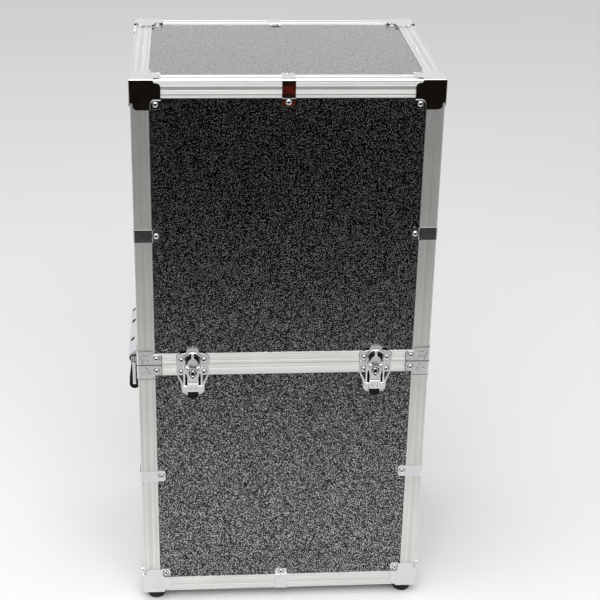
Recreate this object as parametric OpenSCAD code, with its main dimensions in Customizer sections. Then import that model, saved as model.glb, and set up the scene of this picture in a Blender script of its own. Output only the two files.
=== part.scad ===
// Equipment rack case: tall two-part laminate case with aluminium edging.
// Base half with top-loading 19-inch rails, hinged lid half, two draw latches,
// two side handles and four rubber feet. Millimetres; the feet stand on z = 0.

/* [Case] */
// outer width across the edge profiles
case_w = 530; // [525:1:560]
// outer depth across the edge profiles
case_d = 419; // [419:1:460]
// height of the box without its feet
case_h = 1022; // [980:1:1080]
// height of the lid joint above the bottom of the box
seam_h = 494; // [470:1:515]
// panel thickness, plywood with laminate
ply = 9.5; // [9:0.1:10]

/* [Edging] */
// width of each leg of the edge profile
leg = 31; // [30:0.5:32]
// thickness of the edge profile
edge_t = 2; // [1.8:0.1:2.2]
// visible height of the closing profile, each half
rim_h = 20.8; // [20:0.1:22]
// gap between the two halves at the lid joint
seam_gap = 0.8; // [0.6:0.1:1]

/* [Corners and clips] */
// size of one plate of the ball corner
corner = 52; // [50:1:54]
// thickness of the pressed corner plates
corner_t = 2.2; // [1.8:0.1:2.4]
// width of the edge clips
clip_w = 23; // [20:1:26]
// screw head diameter
head_d = 10.4; // [9:0.1:10.6]

/* [Latches] */
// distance from the middle of the case to each latch
latch_x = 166; // [120:1:175]
// width of the latch plates
plate_w = 58; // [56:1:60]

/* [Handles] */
// half length of the handle housing
grip_half = 95; // [85:1:105]
// distance from the handle pivot down to the grip
grip_drop = 61; // [50:1:66]

/* [Rack] */
// rack units between the rails
units = 8; // [6:1:8]
// depth of the rails below the lid joint
rail_drop = 60; // [40:1:120]

/* [Hidden] */
$fn = 32;
foot_h = 21;
foot_at = 23.5;
strap = 1.4;
seat_w = strap - edge_t;
half_gap = seam_gap / 2;
base_h = seam_h - half_gap;
lid_h = case_h - seam_h - half_gap;
base_clip_z = 260;
lid_clip_z = 278;
hole_at = 42;
clip_at = 38.5;
rivet_at = 19;
tab_len = 14.5;
in_w = case_w / 2 - edge_t - ply;
in_d = case_d / 2 - edge_t - ply;
latch_front = 10.4;
hinge_p = 7;
knuckle_r = 4.5;
back_out = hinge_p + knuckle_r;
y_shift = (latch_front - back_out) / 2;
hole_line = 465.1 / 2;
unit = 44.45;
rail_len = units * unit + 12;
pivot_z = seam_h - 39;
pivot_p = 13;
pin_z = -5;
pin_p = 6;
bail_z = -41.5;

// ---------- placing ----------

module base_space() {
  translate([0, y_shift, foot_h]) children();
}

module lid_space() {
  translate([0, y_shift, foot_h + case_h]) mirror([0, 0, 1]) children();
}

module seam_space() {
  translate([0, y_shift, foot_h + seam_h]) children();
}

// faces: local x to the right, y up, z outward
module front_face() {
  translate([0, -case_d / 2, 0]) rotate([90, 0, 0]) children();
}

module back_face() {
  translate([0, case_d / 2, 0]) rotate([90, 0, 180]) children();
}

module left_face() {
  translate([-case_w / 2, 0, 0]) rotate([90, 0, -90]) children();
}

module right_face() {
  translate([case_w / 2, 0, 0]) rotate([90, 0, 90]) children();
}

module closed_face() {
  rotate([180, 0, 0]) children();
}

module four_faces_x() {
  front_face() children();
  back_face() children();
}

module four_faces_y() {
  left_face() children();
  right_face() children();
}

module quad() {
  for (sx = [0, 1]) {
    for (sy = [0, 1]) {
      mirror([sx, 0, 0]) mirror([0, sy, 0]) children();
    }
  }
}

// ---------- fasteners ----------

module screw(r = head_d / 2, shank = 7.5) {
  difference() {
    union() {
      cylinder(r = r, h = 0.7);
      translate([0, 0, 0.7]) cylinder(r1 = r, r2 = r * 0.62, h = 1.3);
      translate([0, 0, -shank]) cylinder(r = 1.9, h = shank + 0.1);
    }
    for (a = [45, 135]) {
      rotate([0, 0, a]) translate([-r * 0.45, -0.45, 1]) cube([r * 0.9, 0.9, 2]);
    }
  }
}

module shank_hole() {
  translate([0, 0, -9]) cylinder(r = 1.9, h = 14);
}

// seats of every screw of one half, closed face at z = 0
module half_seats(h, clip_z) {
  four_faces_x() {
    for (s = [-1, 1]) {
      translate([s * (case_w / 2 - hole_at), hole_at, seat_w]) children();
      translate([s * (case_w / 2 - clip_at), clip_z, seat_w]) children();
      translate([s * (case_w / 2 - 34), h - 11.6, strap]) children();
    }
    translate([0, clip_at, seat_w]) children();
  }
  four_faces_y() {
    for (s = [-1, 1]) {
      translate([s * (case_d / 2 - hole_at), hole_at, seat_w]) children();
      translate([s * (case_d / 2 - clip_at), clip_z, seat_w]) children();
      translate([s * (case_d / 2 - 34), h - 11.6, strap]) children();
    }
  }
  closed_face() {
    quad() translate([case_w / 2 - hole_at, case_d / 2 - hole_at, seat_w]) children();
    for (s = [-1, 1]) {
      translate([0, s * (case_d / 2 - clip_at), seat_w]) children();
    }
  }
}

// seats of the rivets half way along the side edges
module rivet_seats() {
  closed_face() {
    for (s = [-1, 1]) {
      translate([s * (case_w / 2 - rivet_at), 0, 0]) children();
    }
  }
  four_faces_y() translate([0, rivet_at, 0]) children();
}

module rivet() {
  cylinder(r = 3.6, h = 0.4);
  translate([0, 0, 0.4]) cylinder(r1 = 3.6, r2 = 2.2, h = 1);
  translate([0, 0, -7.5]) cylinder(r = 1.6, h = 7.6);
}

module rivet_hole() {
  translate([0, 0, -9]) cylinder(r = 1.6, h = 14);
}

// seats of the keeper, latch plate and hinge screws, on the face of a rim
module keeper_seats() {
  for (s = [-1, 1]) {
    for (t = [-1, 1]) {
      front_face() translate([s * latch_x + t * 20.7, 9.4, 2]) children();
    }
  }
}

module plate_seats() {
  for (s = [-1, 1]) {
    for (t = [-1, 1]) {
      front_face() translate([s * latch_x + t * 20.7, -14.5, 2]) children();
    }
  }
}

module hinge_seats(v) {
  for (s = [-1, 1]) {
    for (t = [-24, 24]) {
      back_face() translate([s * latch_x + t, v, 2]) children();
    }
  }
}

// ---------- panels ----------

module bored(h, clip_z, lid) {
  difference() {
    children(0);
    half_seats(h, clip_z) shank_hole();
    rivet_seats() rivet_hole();
    translate([0, 0, h + half_gap]) mirror([0, 0, lid ? 1 : 0]) {
      if (lid) keeper_seats() shank_hole();
      if (!lid) plate_seats() shank_hole();
      hinge_seats(lid ? 12 : -12) shank_hole();
    }
    if (!lid) {
      side_hardware_holes();
    }
  }
}

module side_hardware_holes() {
  handle_seats() shank_hole();
  rail_seats() shank_hole();
  foot_holes();
}

module slab(x, y, z, h) {
  translate([-x, -y, z]) cube([2 * x, 2 * y, h]);
}

module closed_panel(h, clip_z, lid) {
  bored(h, clip_z, lid) slab(case_w / 2 - edge_t, case_d / 2 - edge_t, edge_t, ply);
}

module long_panel(h, clip_z, lid, s) {
  bored(h, clip_z, lid)
    translate([-case_w / 2 + edge_t, s * (case_d / 2 - edge_t - ply / 2) - ply / 2, edge_t + ply])
      cube([case_w - 2 * edge_t, ply, h - edge_t - ply - rim_web(lid)]);
}

module side_panel(h, clip_z, lid, s) {
  bored(h, clip_z, lid)
    translate([s * (case_w / 2 - edge_t - ply / 2) - ply / 2, -in_d, edge_t + ply])
      cube([ply, 2 * in_d, h - edge_t - ply - rim_web(lid)]);
}

function rim_web(lid) = lid ? 6 : 2.5;

// ---------- edge profiles ----------

// angle section, outer corner at the origin, legs along +x and +y
module angle_section() {
  difference() {
    union() {
      translate([2.5, 0]) square([leg - 2.5, edge_t]);
      translate([0, 2.5]) square([edge_t, leg - 2.5]);
      translate([2.5, 2.5]) circle(r = 2.5);
    }
    translate([edge_t, edge_t]) square(leg);
    for (g = [[3.2, 0.8], [12.4, 4], [26.4, 1]]) {
      translate([g[0], -0.5]) square([g[1], 0.9]);
      translate([-0.5, g[0]]) square([0.9, g[1]]);
    }
  }
}

// length of angle along z from the corner outward, mitred at the start
module angle_run(len, both) {
  difference() {
    linear_extrude(len) angle_section();
    mitre_cut();
    if (both) translate([0, 0, len]) mirror([0, 0, 1]) mitre_cut();
  }
}

// removes z < x and z < y
module mitre_cut() {
  rotate([0, -45, 0]) translate([-80, -10, -80]) cube([160, 80, 80]);
  rotate([45, 0, 0]) translate([-10, -80, -80]) cube([80, 160, 80]);
}

module long_edges(h) {
  for (s = [0, 1]) {
    mirror([0, s, 0]) translate([-case_w / 2, -case_d / 2, 0]) rotate([90, 0, 90]) angle_run(case_w, true);
  }
}

module side_edges(h) {
  difference() {
    for (s = [0, 1]) {
      mirror([s, 0, 0]) translate([-case_w / 2, -case_d / 2, 0])
        multmatrix([[1, 0, 0, 0], [0, 0, 1, 0], [0, 1, 0, 0], [0, 0, 0, 1]]) angle_run(case_d, true);
    }
    rivet_seats() rivet_hole();
  }
}

module uprights(h) {
  quad() translate([-case_w / 2, -case_d / 2, 0]) angle_run(h - rim_h, false);
}

// ---------- closing profiles at the lid joint ----------

// section: x inward from the outer face, y up to the joint at 0
module rim_section(lid) {
  web = rim_web(lid);
  difference() {
    union() {
      translate([0, -rim_h]) square([edge_t, rim_h]);
      translate([0, -web]) square([edge_t + ply + 1.6, web]);
      translate([edge_t + ply, -16]) square([1.6, 16]);
      if (!lid) translate([5.2, 0]) square([3, 3]);
    }
    if (lid) translate([4.2, -4.2]) square([5, 5]);
    translate([-0.5, -rim_h + 3.6]) square([0.9, 0.8]);
    translate([-0.5, -8.4]) square([0.9, 2.4]);
  }
}

module rim_run(len, lid) {
  difference() {
    linear_extrude(len) rim_section(lid);
    for (m = [0, 1]) {
      translate([0, 0, m * len]) mirror([0, 0, m]) rotate([0, -45, 0])
        translate([-80, -40, -80]) cube([160, 80, 80]);
    }
  }
}

module long_rims(h, lid) {
  for (s = [0, 1]) {
    mirror([0, s, 0]) translate([-case_w / 2, -case_d / 2, h])
      multmatrix([[0, 0, 1, 0], [1, 0, 0, 0], [0, 1, 0, 0], [0, 0, 0, 1]]) rim_run(case_w, lid);
  }
}

module side_rims(h, lid) {
  for (s = [0, 1]) {
    mirror([s, 0, 0]) translate([-case_w / 2, -case_d / 2, h])
      multmatrix([[1, 0, 0, 0], [0, 0, 1, 0], [0, 1, 0, 0], [0, 0, 0, 1]]) rim_run(case_d, lid);
  }
}

module rim_holes(h, clip_z, lid) {
  difference() {
    children(0);
    half_seats(h, clip_z) shank_hole();
    translate([0, 0, h + half_gap]) mirror([0, 0, lid ? 1 : 0]) {
      if (lid) keeper_seats() shank_hole();
      if (!lid) plate_seats() shank_hole();
      hinge_seats(lid ? 12 : -12) shank_hole();
    }
  }
}

// ---------- pressed corners ----------

module round_square(w, h, r) {
  translate([r, 0]) square([w - 2 * r, h]);
  translate([0, r]) square([w, h - 2 * r]);
  for (x = [r, w - r]) {
    for (y = [r, h - r]) {
      translate([x, y]) circle(r = r);
    }
  }
}

// one plate in the x-y plane, outward is -z, corner at the origin
module corner_plate() {
  translate([0, 0, -corner_t]) linear_extrude(corner_t) difference() {
    union() {
      translate([-corner_t, -corner_t]) square([40, 40]);
      translate([3, 3]) round_square(corner - 3, corner - 3, 7);
      translate([3, 3]) square([25, 20]);
    }
    translate([leg + 1.2, leg + 1.2]) square(40);
  }
  linear_extrude(edge_t) difference() {
    translate([leg, leg]) square([corner - leg - 5, corner - leg - 5]);
    translate([leg + 1.2, leg + 1.2]) square(40);
  }
  translate([0, 0, edge_t - strap]) linear_extrude(strap) difference() {
    intersection() {
      translate([leg, leg]) round_square(corner - leg - 1, corner - leg - 1, 5);
      translate([leg, leg]) square(40);
    }
    translate([hole_at, hole_at]) circle(r = 1.9);
  }
}

module ball_corner() {
  corner_plate();
  multmatrix([[0, 0, 1, 0], [1, 0, 0, 0], [0, 1, 0, 0], [0, 0, 0, 1]]) corner_plate();
  multmatrix([[0, 1, 0, 0], [0, 0, 1, 0], [1, 0, 0, 0], [0, 0, 0, 1]]) corner_plate();
}

module corners() {
  quad() translate([-case_w / 2, -case_d / 2, 0]) ball_corner();
}

// ---------- edge clips ----------

module clip_section() {
  difference() {
    union() {
      translate([2.5, -strap]) square([leg + 1.2 - 2.5, strap]);
      translate([leg, -strap]) square([1.2, strap + edge_t]);
      translate([leg, edge_t - strap]) square([tab_len, strap]);
      translate([-strap, 2.5]) square([strap, leg + 1.2 - 2.5]);
      translate([-strap, leg]) square([strap + edge_t, 1.2]);
      translate([edge_t - strap, leg]) square([strap, tab_len]);
      intersection() {
        translate([2.5, 2.5]) circle(r = 2.5 + strap);
        translate([-5, -5]) square([7.5, 7.5]);
      }
    }
    translate([2.5, 2.5]) circle(r = 2.5);
  }
}

module clip_outline() {
  translate([0, -clip_w / 2]) round_square(leg + tab_len, clip_w, 5);
  translate([-5, -clip_w / 2]) square([leg, clip_w]);
}

module clip() {
  difference() {
    intersection() {
      translate([0, 0, -clip_w / 2]) linear_extrude(clip_w) clip_section();
      union() {
        translate([0, edge_t + 1, 0]) rotate([90, 0, 0]) linear_extrude(10) clip_outline();
        translate([-5, 0, 0]) rotate([90, 0, 90]) linear_extrude(edge_t + 6) clip_outline();
      }
    }
    translate([clip_at, 5, 0]) rotate([90, 0, 0]) cylinder(r = 1.9, h = 10);
    translate([-5, clip_at, 0]) rotate([0, 90, 0]) cylinder(r = 1.9, h = 10);
  }
}

module clips(clip_z) {
  quad() translate([-case_w / 2, -case_d / 2, clip_z]) clip();
  for (s = [0, 1]) {
    mirror([0, s, 0]) translate([0, -case_d / 2, 0]) rotate([90, 0, 90]) clip();
  }
}

// ---------- brackets over the joint corners ----------

// outline in the x-y plane, joint at y = 0, corner at x = 0, body below
module bracket_outline() {
  translate([-strap, -27.5]) square([30, 27.5]);
  translate([20, -19]) round_square(23.5, 19, 5);
  translate([20, -10]) square([23.5, 10]);
}

module bracket_side() {
  rotate([90, 0, 0]) linear_extrude(strap) difference() {
    bracket_outline();
    translate([34, -11.6]) circle(r = 1.9);
  }
}

module rim_brackets(h) {
  quad() translate([-case_w / 2, -case_d / 2, h]) {
    bracket_side();
    multmatrix([[0, 1, 0, 0], [1, 0, 0, 0], [0, 0, 1, 0], [0, 0, 0, 1]]) bracket_side();
  }
}

// ---------- feet ----------

module at_feet() {
  quad() translate([case_w / 2 - foot_at, case_d / 2 - foot_at, 0]) rotate([180, 0, 0]) children();
}

module foot_holes() {
  at_feet() translate([0, 0, -9]) cylinder(r = 1.9, h = 20);
}

module over_feet() {
  difference() {
    children();
    foot_holes();
  }
}

module foot() {
  rotate_extrude($fn = 48) difference() {
    polygon([[0, corner_t], [17.2, corner_t], [17.2, foot_h - 7], [16.8, foot_h - 3.6],
      [15.8, foot_h - 1.3], [14.2, foot_h], [0, foot_h]]);
    translate([-1, 7]) square([7.5, 20]);
    translate([-1, -1]) square([2.9, 30]);
  }
}

module feet() {
  color([0.03, 0.03, 0.03]) base_space() at_feet() foot();
}

module foot_screws() {
  color([0.75, 0.75, 0.76]) base_space() at_feet() translate([0, 0, 7]) screw(6, 15);
}

// ---------- latches ----------

module keeper() {
  difference() {
    linear_extrude(2) difference() {
      union() {
        translate([-plate_w / 2, half_gap]) square([plate_w, 17]);
        translate([-plate_w / 2 + 4, half_gap + 12]) square([plate_w - 8, 9]);
        for (s = [-1, 1]) {
          translate([s * (plate_w / 2 - 6), half_gap + 15]) circle(r = 6);
        }
        intersection() {
          translate([0, -28]) circle(r = 53);
          translate([-24, 15]) square([48, 30]);
        }
      }
      for (s = [-1, 1]) {
        translate([s * 20.7, 9.4]) circle(r = 1.9);
      }
    }
  }
  linear_extrude(4.1) intersection() {
    translate([0, 1.5]) circle(r = 11.3);
    translate([-12, half_gap + 0.2]) square([24, 20]);
  }
  translate([-10.5, 24, -edge_t]) cube([21, 9, edge_t + 2]);
  translate([-10.5, 29.5, 1.9]) cube([21, 2.6, 1.6]);
}

module latch_plate_outline() {
  w = plate_w / 2;
  translate([-w, -20]) square([2 * w, 20 - half_gap]);
  polygon([
    [-w, -20], [w, -20], [w - 3.4, -28], [w - 6.6, -36], [w - 8.2, -45], [w - 8.5, -54],
    [12, -60], [-12, -60], [-w + 8.5, -54], [-w + 8.2, -45], [-w + 6.6, -36], [-w + 3.4, -28]
  ]);
}

module latch_plate() {
  difference() {
    union() {
      linear_extrude(2) latch_plate_outline();
      translate([0, 0, -edge_t]) linear_extrude(edge_t + 0.5) intersection() {
        latch_plate_outline();
        translate([-40, -70]) square([80, 69.9 - rim_h - half_gap]);
      }
      for (s = [-1, 1]) {
        translate([s * 8.1 - 0.5, pin_z - 2.6, 1]) cube([1, 5.2, pin_p - 1]);
        translate([s * 8.1 - 0.5, pin_z, pin_p]) rotate([0, 90, 0]) cylinder(r = 2.6, h = 1);
      }
    }
    translate([-20, pin_z, pin_p]) rotate([0, 90, 0]) cylinder(r = 1.3, h = 40);
    for (s = [-1, 1]) {
      translate([s * 20.7, -14.5, -9]) cylinder(r = 1.9, h = 20);
    }
  }
}

module at_latch(s) {
  seam_space() front_face() translate([s * latch_x, 0, 0]) children();
}

module lever_side_view() {
  translate([pin_z, pin_p]) circle(r = 3.6);
  polygon([[pin_z, pin_p + 3.6], [-32, 9.6], [-36, 8.4], [-52, 8.2], [-52, 6.4], [-51, 3.4],
    [-44, 3], [pin_z, pin_p - 3.6]]);
}

module lever_inner_view() {
  polygon([[-0.5, -1], [-0.5, 7.6], [-32, 7.6], [-36, 6.6], [-60, 6.4], [-60, -1]]);
}

module lever() {
  difference() {
    translate([-11.3, 0, 0]) rotate([90, 0, 90]) linear_extrude(22.6) lever_side_view();
    translate([-9.8, 0, 0]) rotate([90, 0, 90]) linear_extrude(19.6) lever_inner_view();
    translate([-20, pin_z, pin_p]) rotate([0, 90, 0]) cylinder(r = 1.35, h = 40);
    for (s = [-1, 1]) {
      translate([s * 8.1 - 0.9, pin_z - 3.4, 0]) cube([1.8, 9, 12]);
    }
    translate([-20, bail_z, pin_p]) rotate([0, 90, 0]) cylinder(r = 1.4, h = 40);
    translate([0, -15, 4]) cylinder(r = 4.05, h = 10);
    for (s = [-1, 1]) {
      translate([s * 5, -48.5, 7.8]) cylinder(r = 0.8, h = 2);
    }
    translate([-12, -33, 9.3]) cube([24, 0.8, 1]);
    translate([-12, -1.5 + pin_z, 9.3]) cube([24, 0.8, 1]);
  }
  translate([0, -15, 9.4]) difference() {
    cylinder(r = 7, h = 0.7);
    translate([0, 0, -1]) cylinder(r = 5.2, h = 3);
  }
}

module lever_pin() {
  translate([-11.1, pin_z, pin_p]) rotate([0, 90, 0]) cylinder(r = 1.3, h = 22.2);
}

module bail() {
  difference() {
    union() {
      translate([0, 0, 4.7]) linear_extrude(2.8) difference() {
        union() {
          translate([0, 9]) circle(r = 16.6);
          translate([-16.6, bail_z]) square([33.2, 9 - bail_z]);
        }
        translate([0, 3.2]) circle(r = 12.3);
        translate([-12.3, bail_z - 10]) square([24.6, 13.2 - bail_z]);
      }
      for (s = [-1, 1]) {
        translate([s * 14.45 - 2.15, bail_z, pin_p]) rotate([0, 90, 0]) cylinder(r = 3.2, h = 4.3);
      }
    }
    translate([-20, bail_z, pin_p]) rotate([0, 90, 0]) cylinder(r = 1.45, h = 40);
  }
}

module bail_pin() {
  translate([-17.2, bail_z, pin_p]) rotate([0, 90, 0]) cylinder(r = 1.4, h = 34.4);
}

module thumb_tab() {
  translate([0, 0, 3.4]) linear_extrude(2.9) {
    translate([-9.6, -56.5]) square([19.2, 11.5]);
    translate([0, -56.5]) circle(r = 9.6);
  }
  translate([0, 0, 2.9]) linear_extrude(3.9) difference() {
    translate([0, -56.5]) circle(r = 9.6);
    translate([-12, -56.5]) square(24);
    translate([0, -56.5]) circle(r = 7.6);
  }
}

module lock_plug() {
  translate([0, -15, 0]) difference() {
    union() {
      translate([0, 0, 4.6]) cylinder(r = 4, h = latch_front - 4.9);
      translate([0, 0, latch_front - 0.3]) cylinder(r1 = 4, r2 = 3.7, h = 0.3);
    }
    translate([-0.6, -2.8, 8]) cube([1.2, 4.2, 4]);
  }
}

// ---------- side handles ----------

module handle_seats() {
  for (s = [-1, 1]) {
    for (y = [-41, 41]) {
      for (z = [-7, 7]) {
        translate([s * (case_w / 2 - edge_t), y, pivot_z + z]) rotate([0, s * 90, 0])
          translate([0, 0, 2.5]) children();
      }
    }
  }
}

// outward is +x from the panel face, pivot height at z = 0
module housing() {
  difference() {
    union() {
      rotate([90, 0, 0]) translate([0, 0, -grip_half]) linear_extrude(2 * grip_half)
        polygon([[0, -12.5], [0, 12.5], [11, 12.5], [22.5, 2.5], [22.5, -2.5], [11, -12.5]]);
    }
    for (y = [-41, 41]) {
      for (z = [-7, 7]) {
        translate([2.5, y, z]) rotate([0, 90, 0]) cylinder(r = 3.7, h = 40);
        translate([-1, y, z]) rotate([0, 90, 0]) cylinder(r = 1.9, h = 10);
      }
    }
    for (s = [-1, 1]) {
      translate([pivot_p, s * (grip_half - 14), 0]) rotate([-s * 90, 0, 0]) cylinder(r = 4, h = 40);
    }
  }
}

module at_handle(s) {
  base_space() translate([s * (case_w / 2 - edge_t), 0, pivot_z]) mirror([s < 0 ? 1 : 0, 0, 0]) children();
}

module handle_pivot() {
  for (s = [-1, 1]) {
    translate([pivot_p, s * (grip_half - 14), 0]) rotate([-s * 90, 0, 0]) {
      cylinder(r = 4, h = 20.2);
      translate([0, 0, 20]) cylinder(r = 8.4, h = 3);
      translate([0, 0, 23]) cylinder(r1 = 8.4, r2 = 6, h = 2);
    }
  }
}

module handle_bail() {
  y1 = grip_half + 0.5;
  for (s = [0, 1]) {
    mirror([0, s, 0]) {
      difference() {
        union() {
          translate([pivot_p, y1, 0]) rotate([-90, 0, 0]) cylinder(r = 7, h = 5);
          translate([pivot_p - 3, y1, -grip_drop + 8]) cube([6, 5, grip_drop - 8]);
          translate([pivot_p, y1 - 5.5, -grip_drop + 8]) rotate([90, 0, 90])
            translate([0, 0, -3]) linear_extrude(6) intersection() {
              difference() {
                circle(r = 10.5);
                circle(r = 5.5);
              }
              translate([0, -20]) square(20);
            }
          translate([pivot_p - 3, -0.1, -grip_drop - 2.5]) cube([6, y1 - 5.4, 5]);
        }
        translate([pivot_p, y1 - 1, 0]) rotate([-90, 0, 0]) cylinder(r = 4.06, h = 8);
      }
    }
  }
}

module handle_grip() {
  g = grip_half - 8;
  difference() {
    translate([pivot_p, -g, -grip_drop]) rotate([-90, 0, 0]) {
      cylinder(r = 8.3, h = 2 * g);
      for (i = [0:3]) {
        translate([0, 0, 24 + i * 42]) cylinder(r = 8.6, h = 6);
      }
    }
    translate([pivot_p - 3, -g - 1, -grip_drop - 2.5]) cube([6, 2 * g + 2, 5]);
  }
}

// ---------- hinges ----------

// local x along the joint, y up, z outward; leaf below the joint
module hinge_leaf(slots) {
  difference() {
    union() {
      translate([-32, -20.4, 0]) cube([64, 20, 2]);
      for (k = slots) {
        translate([k - 6, 0, hinge_p]) rotate([0, 90, 0]) cylinder(r = knuckle_r, h = 11.4);
        translate([k - 6, -3.8, 1]) cube([11.4, 3.2, 5]);
      }
    }
    translate([-40, 0, hinge_p]) rotate([0, 90, 0]) cylinder(r = 2.05, h = 80);
    for (s = [-24, 24]) {
      translate([s, -12, -1]) cylinder(r = 1.9, h = 5);
    }
  }
}

module at_hinge(s) {
  seam_space() mirror([s < 0 ? 1 : 0, 0, 0]) back_face() translate([latch_x, 0, 0]) children();
}

module hinge_pin() {
  translate([-31, 0, hinge_p]) rotate([0, 90, 0]) {
    cylinder(r = 2, h = 62);
    translate([0, 0, -1.6]) cylinder(r = 3.2, h = 1.7);
  }
}

// ---------- rack rails ----------

module rail_seats() {
  for (s = [-1, 1]) {
    for (y = [-150, -50, 50, 150]) {
      translate([s * (in_w - 2), y, seam_h - rail_drop - 20]) rotate([0, -s * 90, 0]) children();
    }
  }
}

module rack_rail() {
  x0 = 225;
  difference() {
    union() {
      translate([x0, -rail_len / 2, -2]) cube([in_w - x0, rail_len, 2]);
      translate([in_w - 2, -rail_len / 2, -32]) cube([2, rail_len, 32]);
    }
    for (u = [0:units - 1]) {
      for (k = [6.35, 22.225, 38.1]) {
        translate([hole_line, -units * unit / 2 + u * unit + k, -5]) cylinder(r = 3.5, h = 10);
      }
    }
    for (y = [-150, -50, 50, 150]) {
      translate([in_w - 5, y, -20]) rotate([0, 90, 0]) cylinder(r = 1.9, h = 10);
    }
  }
}

// ---------- nodes ----------

module alu() {
  color([0.78, 0.78, 0.77]) children();
}

module chrome() {
  color([0.88, 0.88, 0.9]) children();
}

module laminate() {
  color([0.12, 0.12, 0.12]) children();
}

module base_bottom_panel() { laminate() base_space() closed_panel(base_h, base_clip_z, false); }
module base_front_panel() { laminate() base_space() long_panel(base_h, base_clip_z, false, -1); }
module base_back_panel() { laminate() base_space() long_panel(base_h, base_clip_z, false, 1); }
module base_left_panel() { laminate() base_space() side_panel(base_h, base_clip_z, false, -1); }
module base_right_panel() { laminate() base_space() side_panel(base_h, base_clip_z, false, 1); }
module base_long_edges() { alu() base_space() over_feet() long_edges(base_h); }
module base_side_edges() { alu() base_space() over_feet() side_edges(base_h); }
module base_uprights() { alu() base_space() uprights(base_h); }
module base_long_rims() {
  alu() base_space() rim_holes(base_h, base_clip_z, false) long_rims(base_h, false);
}
module base_side_rims() {
  alu() base_space() rim_holes(base_h, base_clip_z, false) side_rims(base_h, false);
}
module base_corners() { chrome() base_space() over_feet() corners(); }
module base_rim_brackets() { chrome() base_space() rim_brackets(base_h); }
module base_edge_clips() { chrome() base_space() clips(base_clip_z); }
module base_screws() {
  chrome() {
    base_space() half_seats(base_h, base_clip_z) screw();
    seam_space() hinge_seats(-12) screw(3.9, 7.5);
  }
}

module base_rivets() { chrome() base_space() rivet_seats() rivet(); }

module lid_top_panel() { laminate() lid_space() closed_panel(lid_h, lid_clip_z, true); }
module lid_front_panel() { laminate() lid_space() long_panel(lid_h, lid_clip_z, true, -1); }
module lid_back_panel() { laminate() lid_space() long_panel(lid_h, lid_clip_z, true, 1); }
module lid_left_panel() { laminate() lid_space() side_panel(lid_h, lid_clip_z, true, -1); }
module lid_right_panel() { laminate() lid_space() side_panel(lid_h, lid_clip_z, true, 1); }
module lid_long_edges() { alu() lid_space() long_edges(lid_h); }
module lid_side_edges() { alu() lid_space() side_edges(lid_h); }
module lid_uprights() { alu() lid_space() uprights(lid_h); }
module lid_long_rims() {
  alu() lid_space() rim_holes(lid_h, lid_clip_z, true) long_rims(lid_h, true);
}
module lid_side_rims() {
  alu() lid_space() rim_holes(lid_h, lid_clip_z, true) side_rims(lid_h, true);
}
module lid_corners() { chrome() lid_space() corners(); }
module lid_rim_brackets() { chrome() lid_space() rim_brackets(lid_h); }
module lid_edge_clips() { chrome() lid_space() clips(lid_clip_z); }
module lid_screws() {
  chrome() {
    lid_space() half_seats(lid_h, lid_clip_z) screw();
    seam_space() hinge_seats(12) screw(3.9, 7.5);
  }
}

module lid_rivets() { chrome() lid_space() rivet_seats() rivet(); }

module latch_keepers() {
  chrome() for (s = [-1, 1]) {
    at_latch(s) keeper();
  }
}

module keeper_screws() {
  chrome() seam_space() keeper_seats() screw(5.1, 9);
}

module latch_plates() {
  chrome() for (s = [-1, 1]) {
    at_latch(s) latch_plate();
  }
}

module latch_plate_screws() {
  chrome() seam_space() plate_seats() screw(4.9, 9);
}

module lever_pins() {
  chrome() for (s = [-1, 1]) {
    at_latch(s) lever_pin();
  }
}

module left_lever() { chrome() at_latch(-1) lever(); }
module left_bail() { chrome() at_latch(-1) bail(); }
module left_bail_pin() { chrome() at_latch(-1) bail_pin(); }
module left_thumb_tab() { color([0.02, 0.02, 0.02]) at_latch(-1) thumb_tab(); }
module left_lock_plug() { chrome() at_latch(-1) lock_plug(); }
module right_lever() { chrome() at_latch(1) lever(); }
module right_bail() { chrome() at_latch(1) bail(); }
module right_bail_pin() { chrome() at_latch(1) bail_pin(); }
module right_thumb_tab() { color([0.02, 0.02, 0.02]) at_latch(1) thumb_tab(); }
module right_lock_plug() { chrome() at_latch(1) lock_plug(); }

module handle_housings() {
  color([0.75, 0.76, 0.78]) for (s = [-1, 1]) {
    at_handle(s) housing();
  }
}

module handle_screws() {
  chrome() base_space() handle_seats() screw(3.4, 9);
}

module handle_pivots() {
  color([0.2, 0.2, 0.2]) for (s = [-1, 1]) {
    at_handle(s) handle_pivot();
  }
}

module left_handle_bail() { chrome() at_handle(-1) handle_bail(); }
module left_handle_grip() { color([0.03, 0.03, 0.03]) at_handle(-1) handle_grip(); }
module right_handle_bail() { chrome() at_handle(1) handle_bail(); }
module right_handle_grip() { color([0.03, 0.03, 0.03]) at_handle(1) handle_grip(); }

module hinge_base_leaves() {
  chrome() for (s = [-1, 1]) {
    at_hinge(s) hinge_leaf([-24, 0, 24]);
  }
}

module hinge_lid_leaves() {
  chrome() for (s = [-1, 1]) {
    at_hinge(s) mirror([0, 1, 0]) hinge_leaf([-12, 12]);
  }
}

module hinge_pins() {
  chrome() for (s = [-1, 1]) {
    at_hinge(s) hinge_pin();
  }
}

module rack_rails() {
  color([0.1, 0.1, 0.1]) base_space() translate([0, 0, seam_h - rail_drop]) for (s = [0, 1]) {
    mirror([s, 0, 0]) rack_rail();
  }
}

module rail_screws() {
  chrome() base_space() rail_seats() screw(4.2, 8);
}

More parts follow.
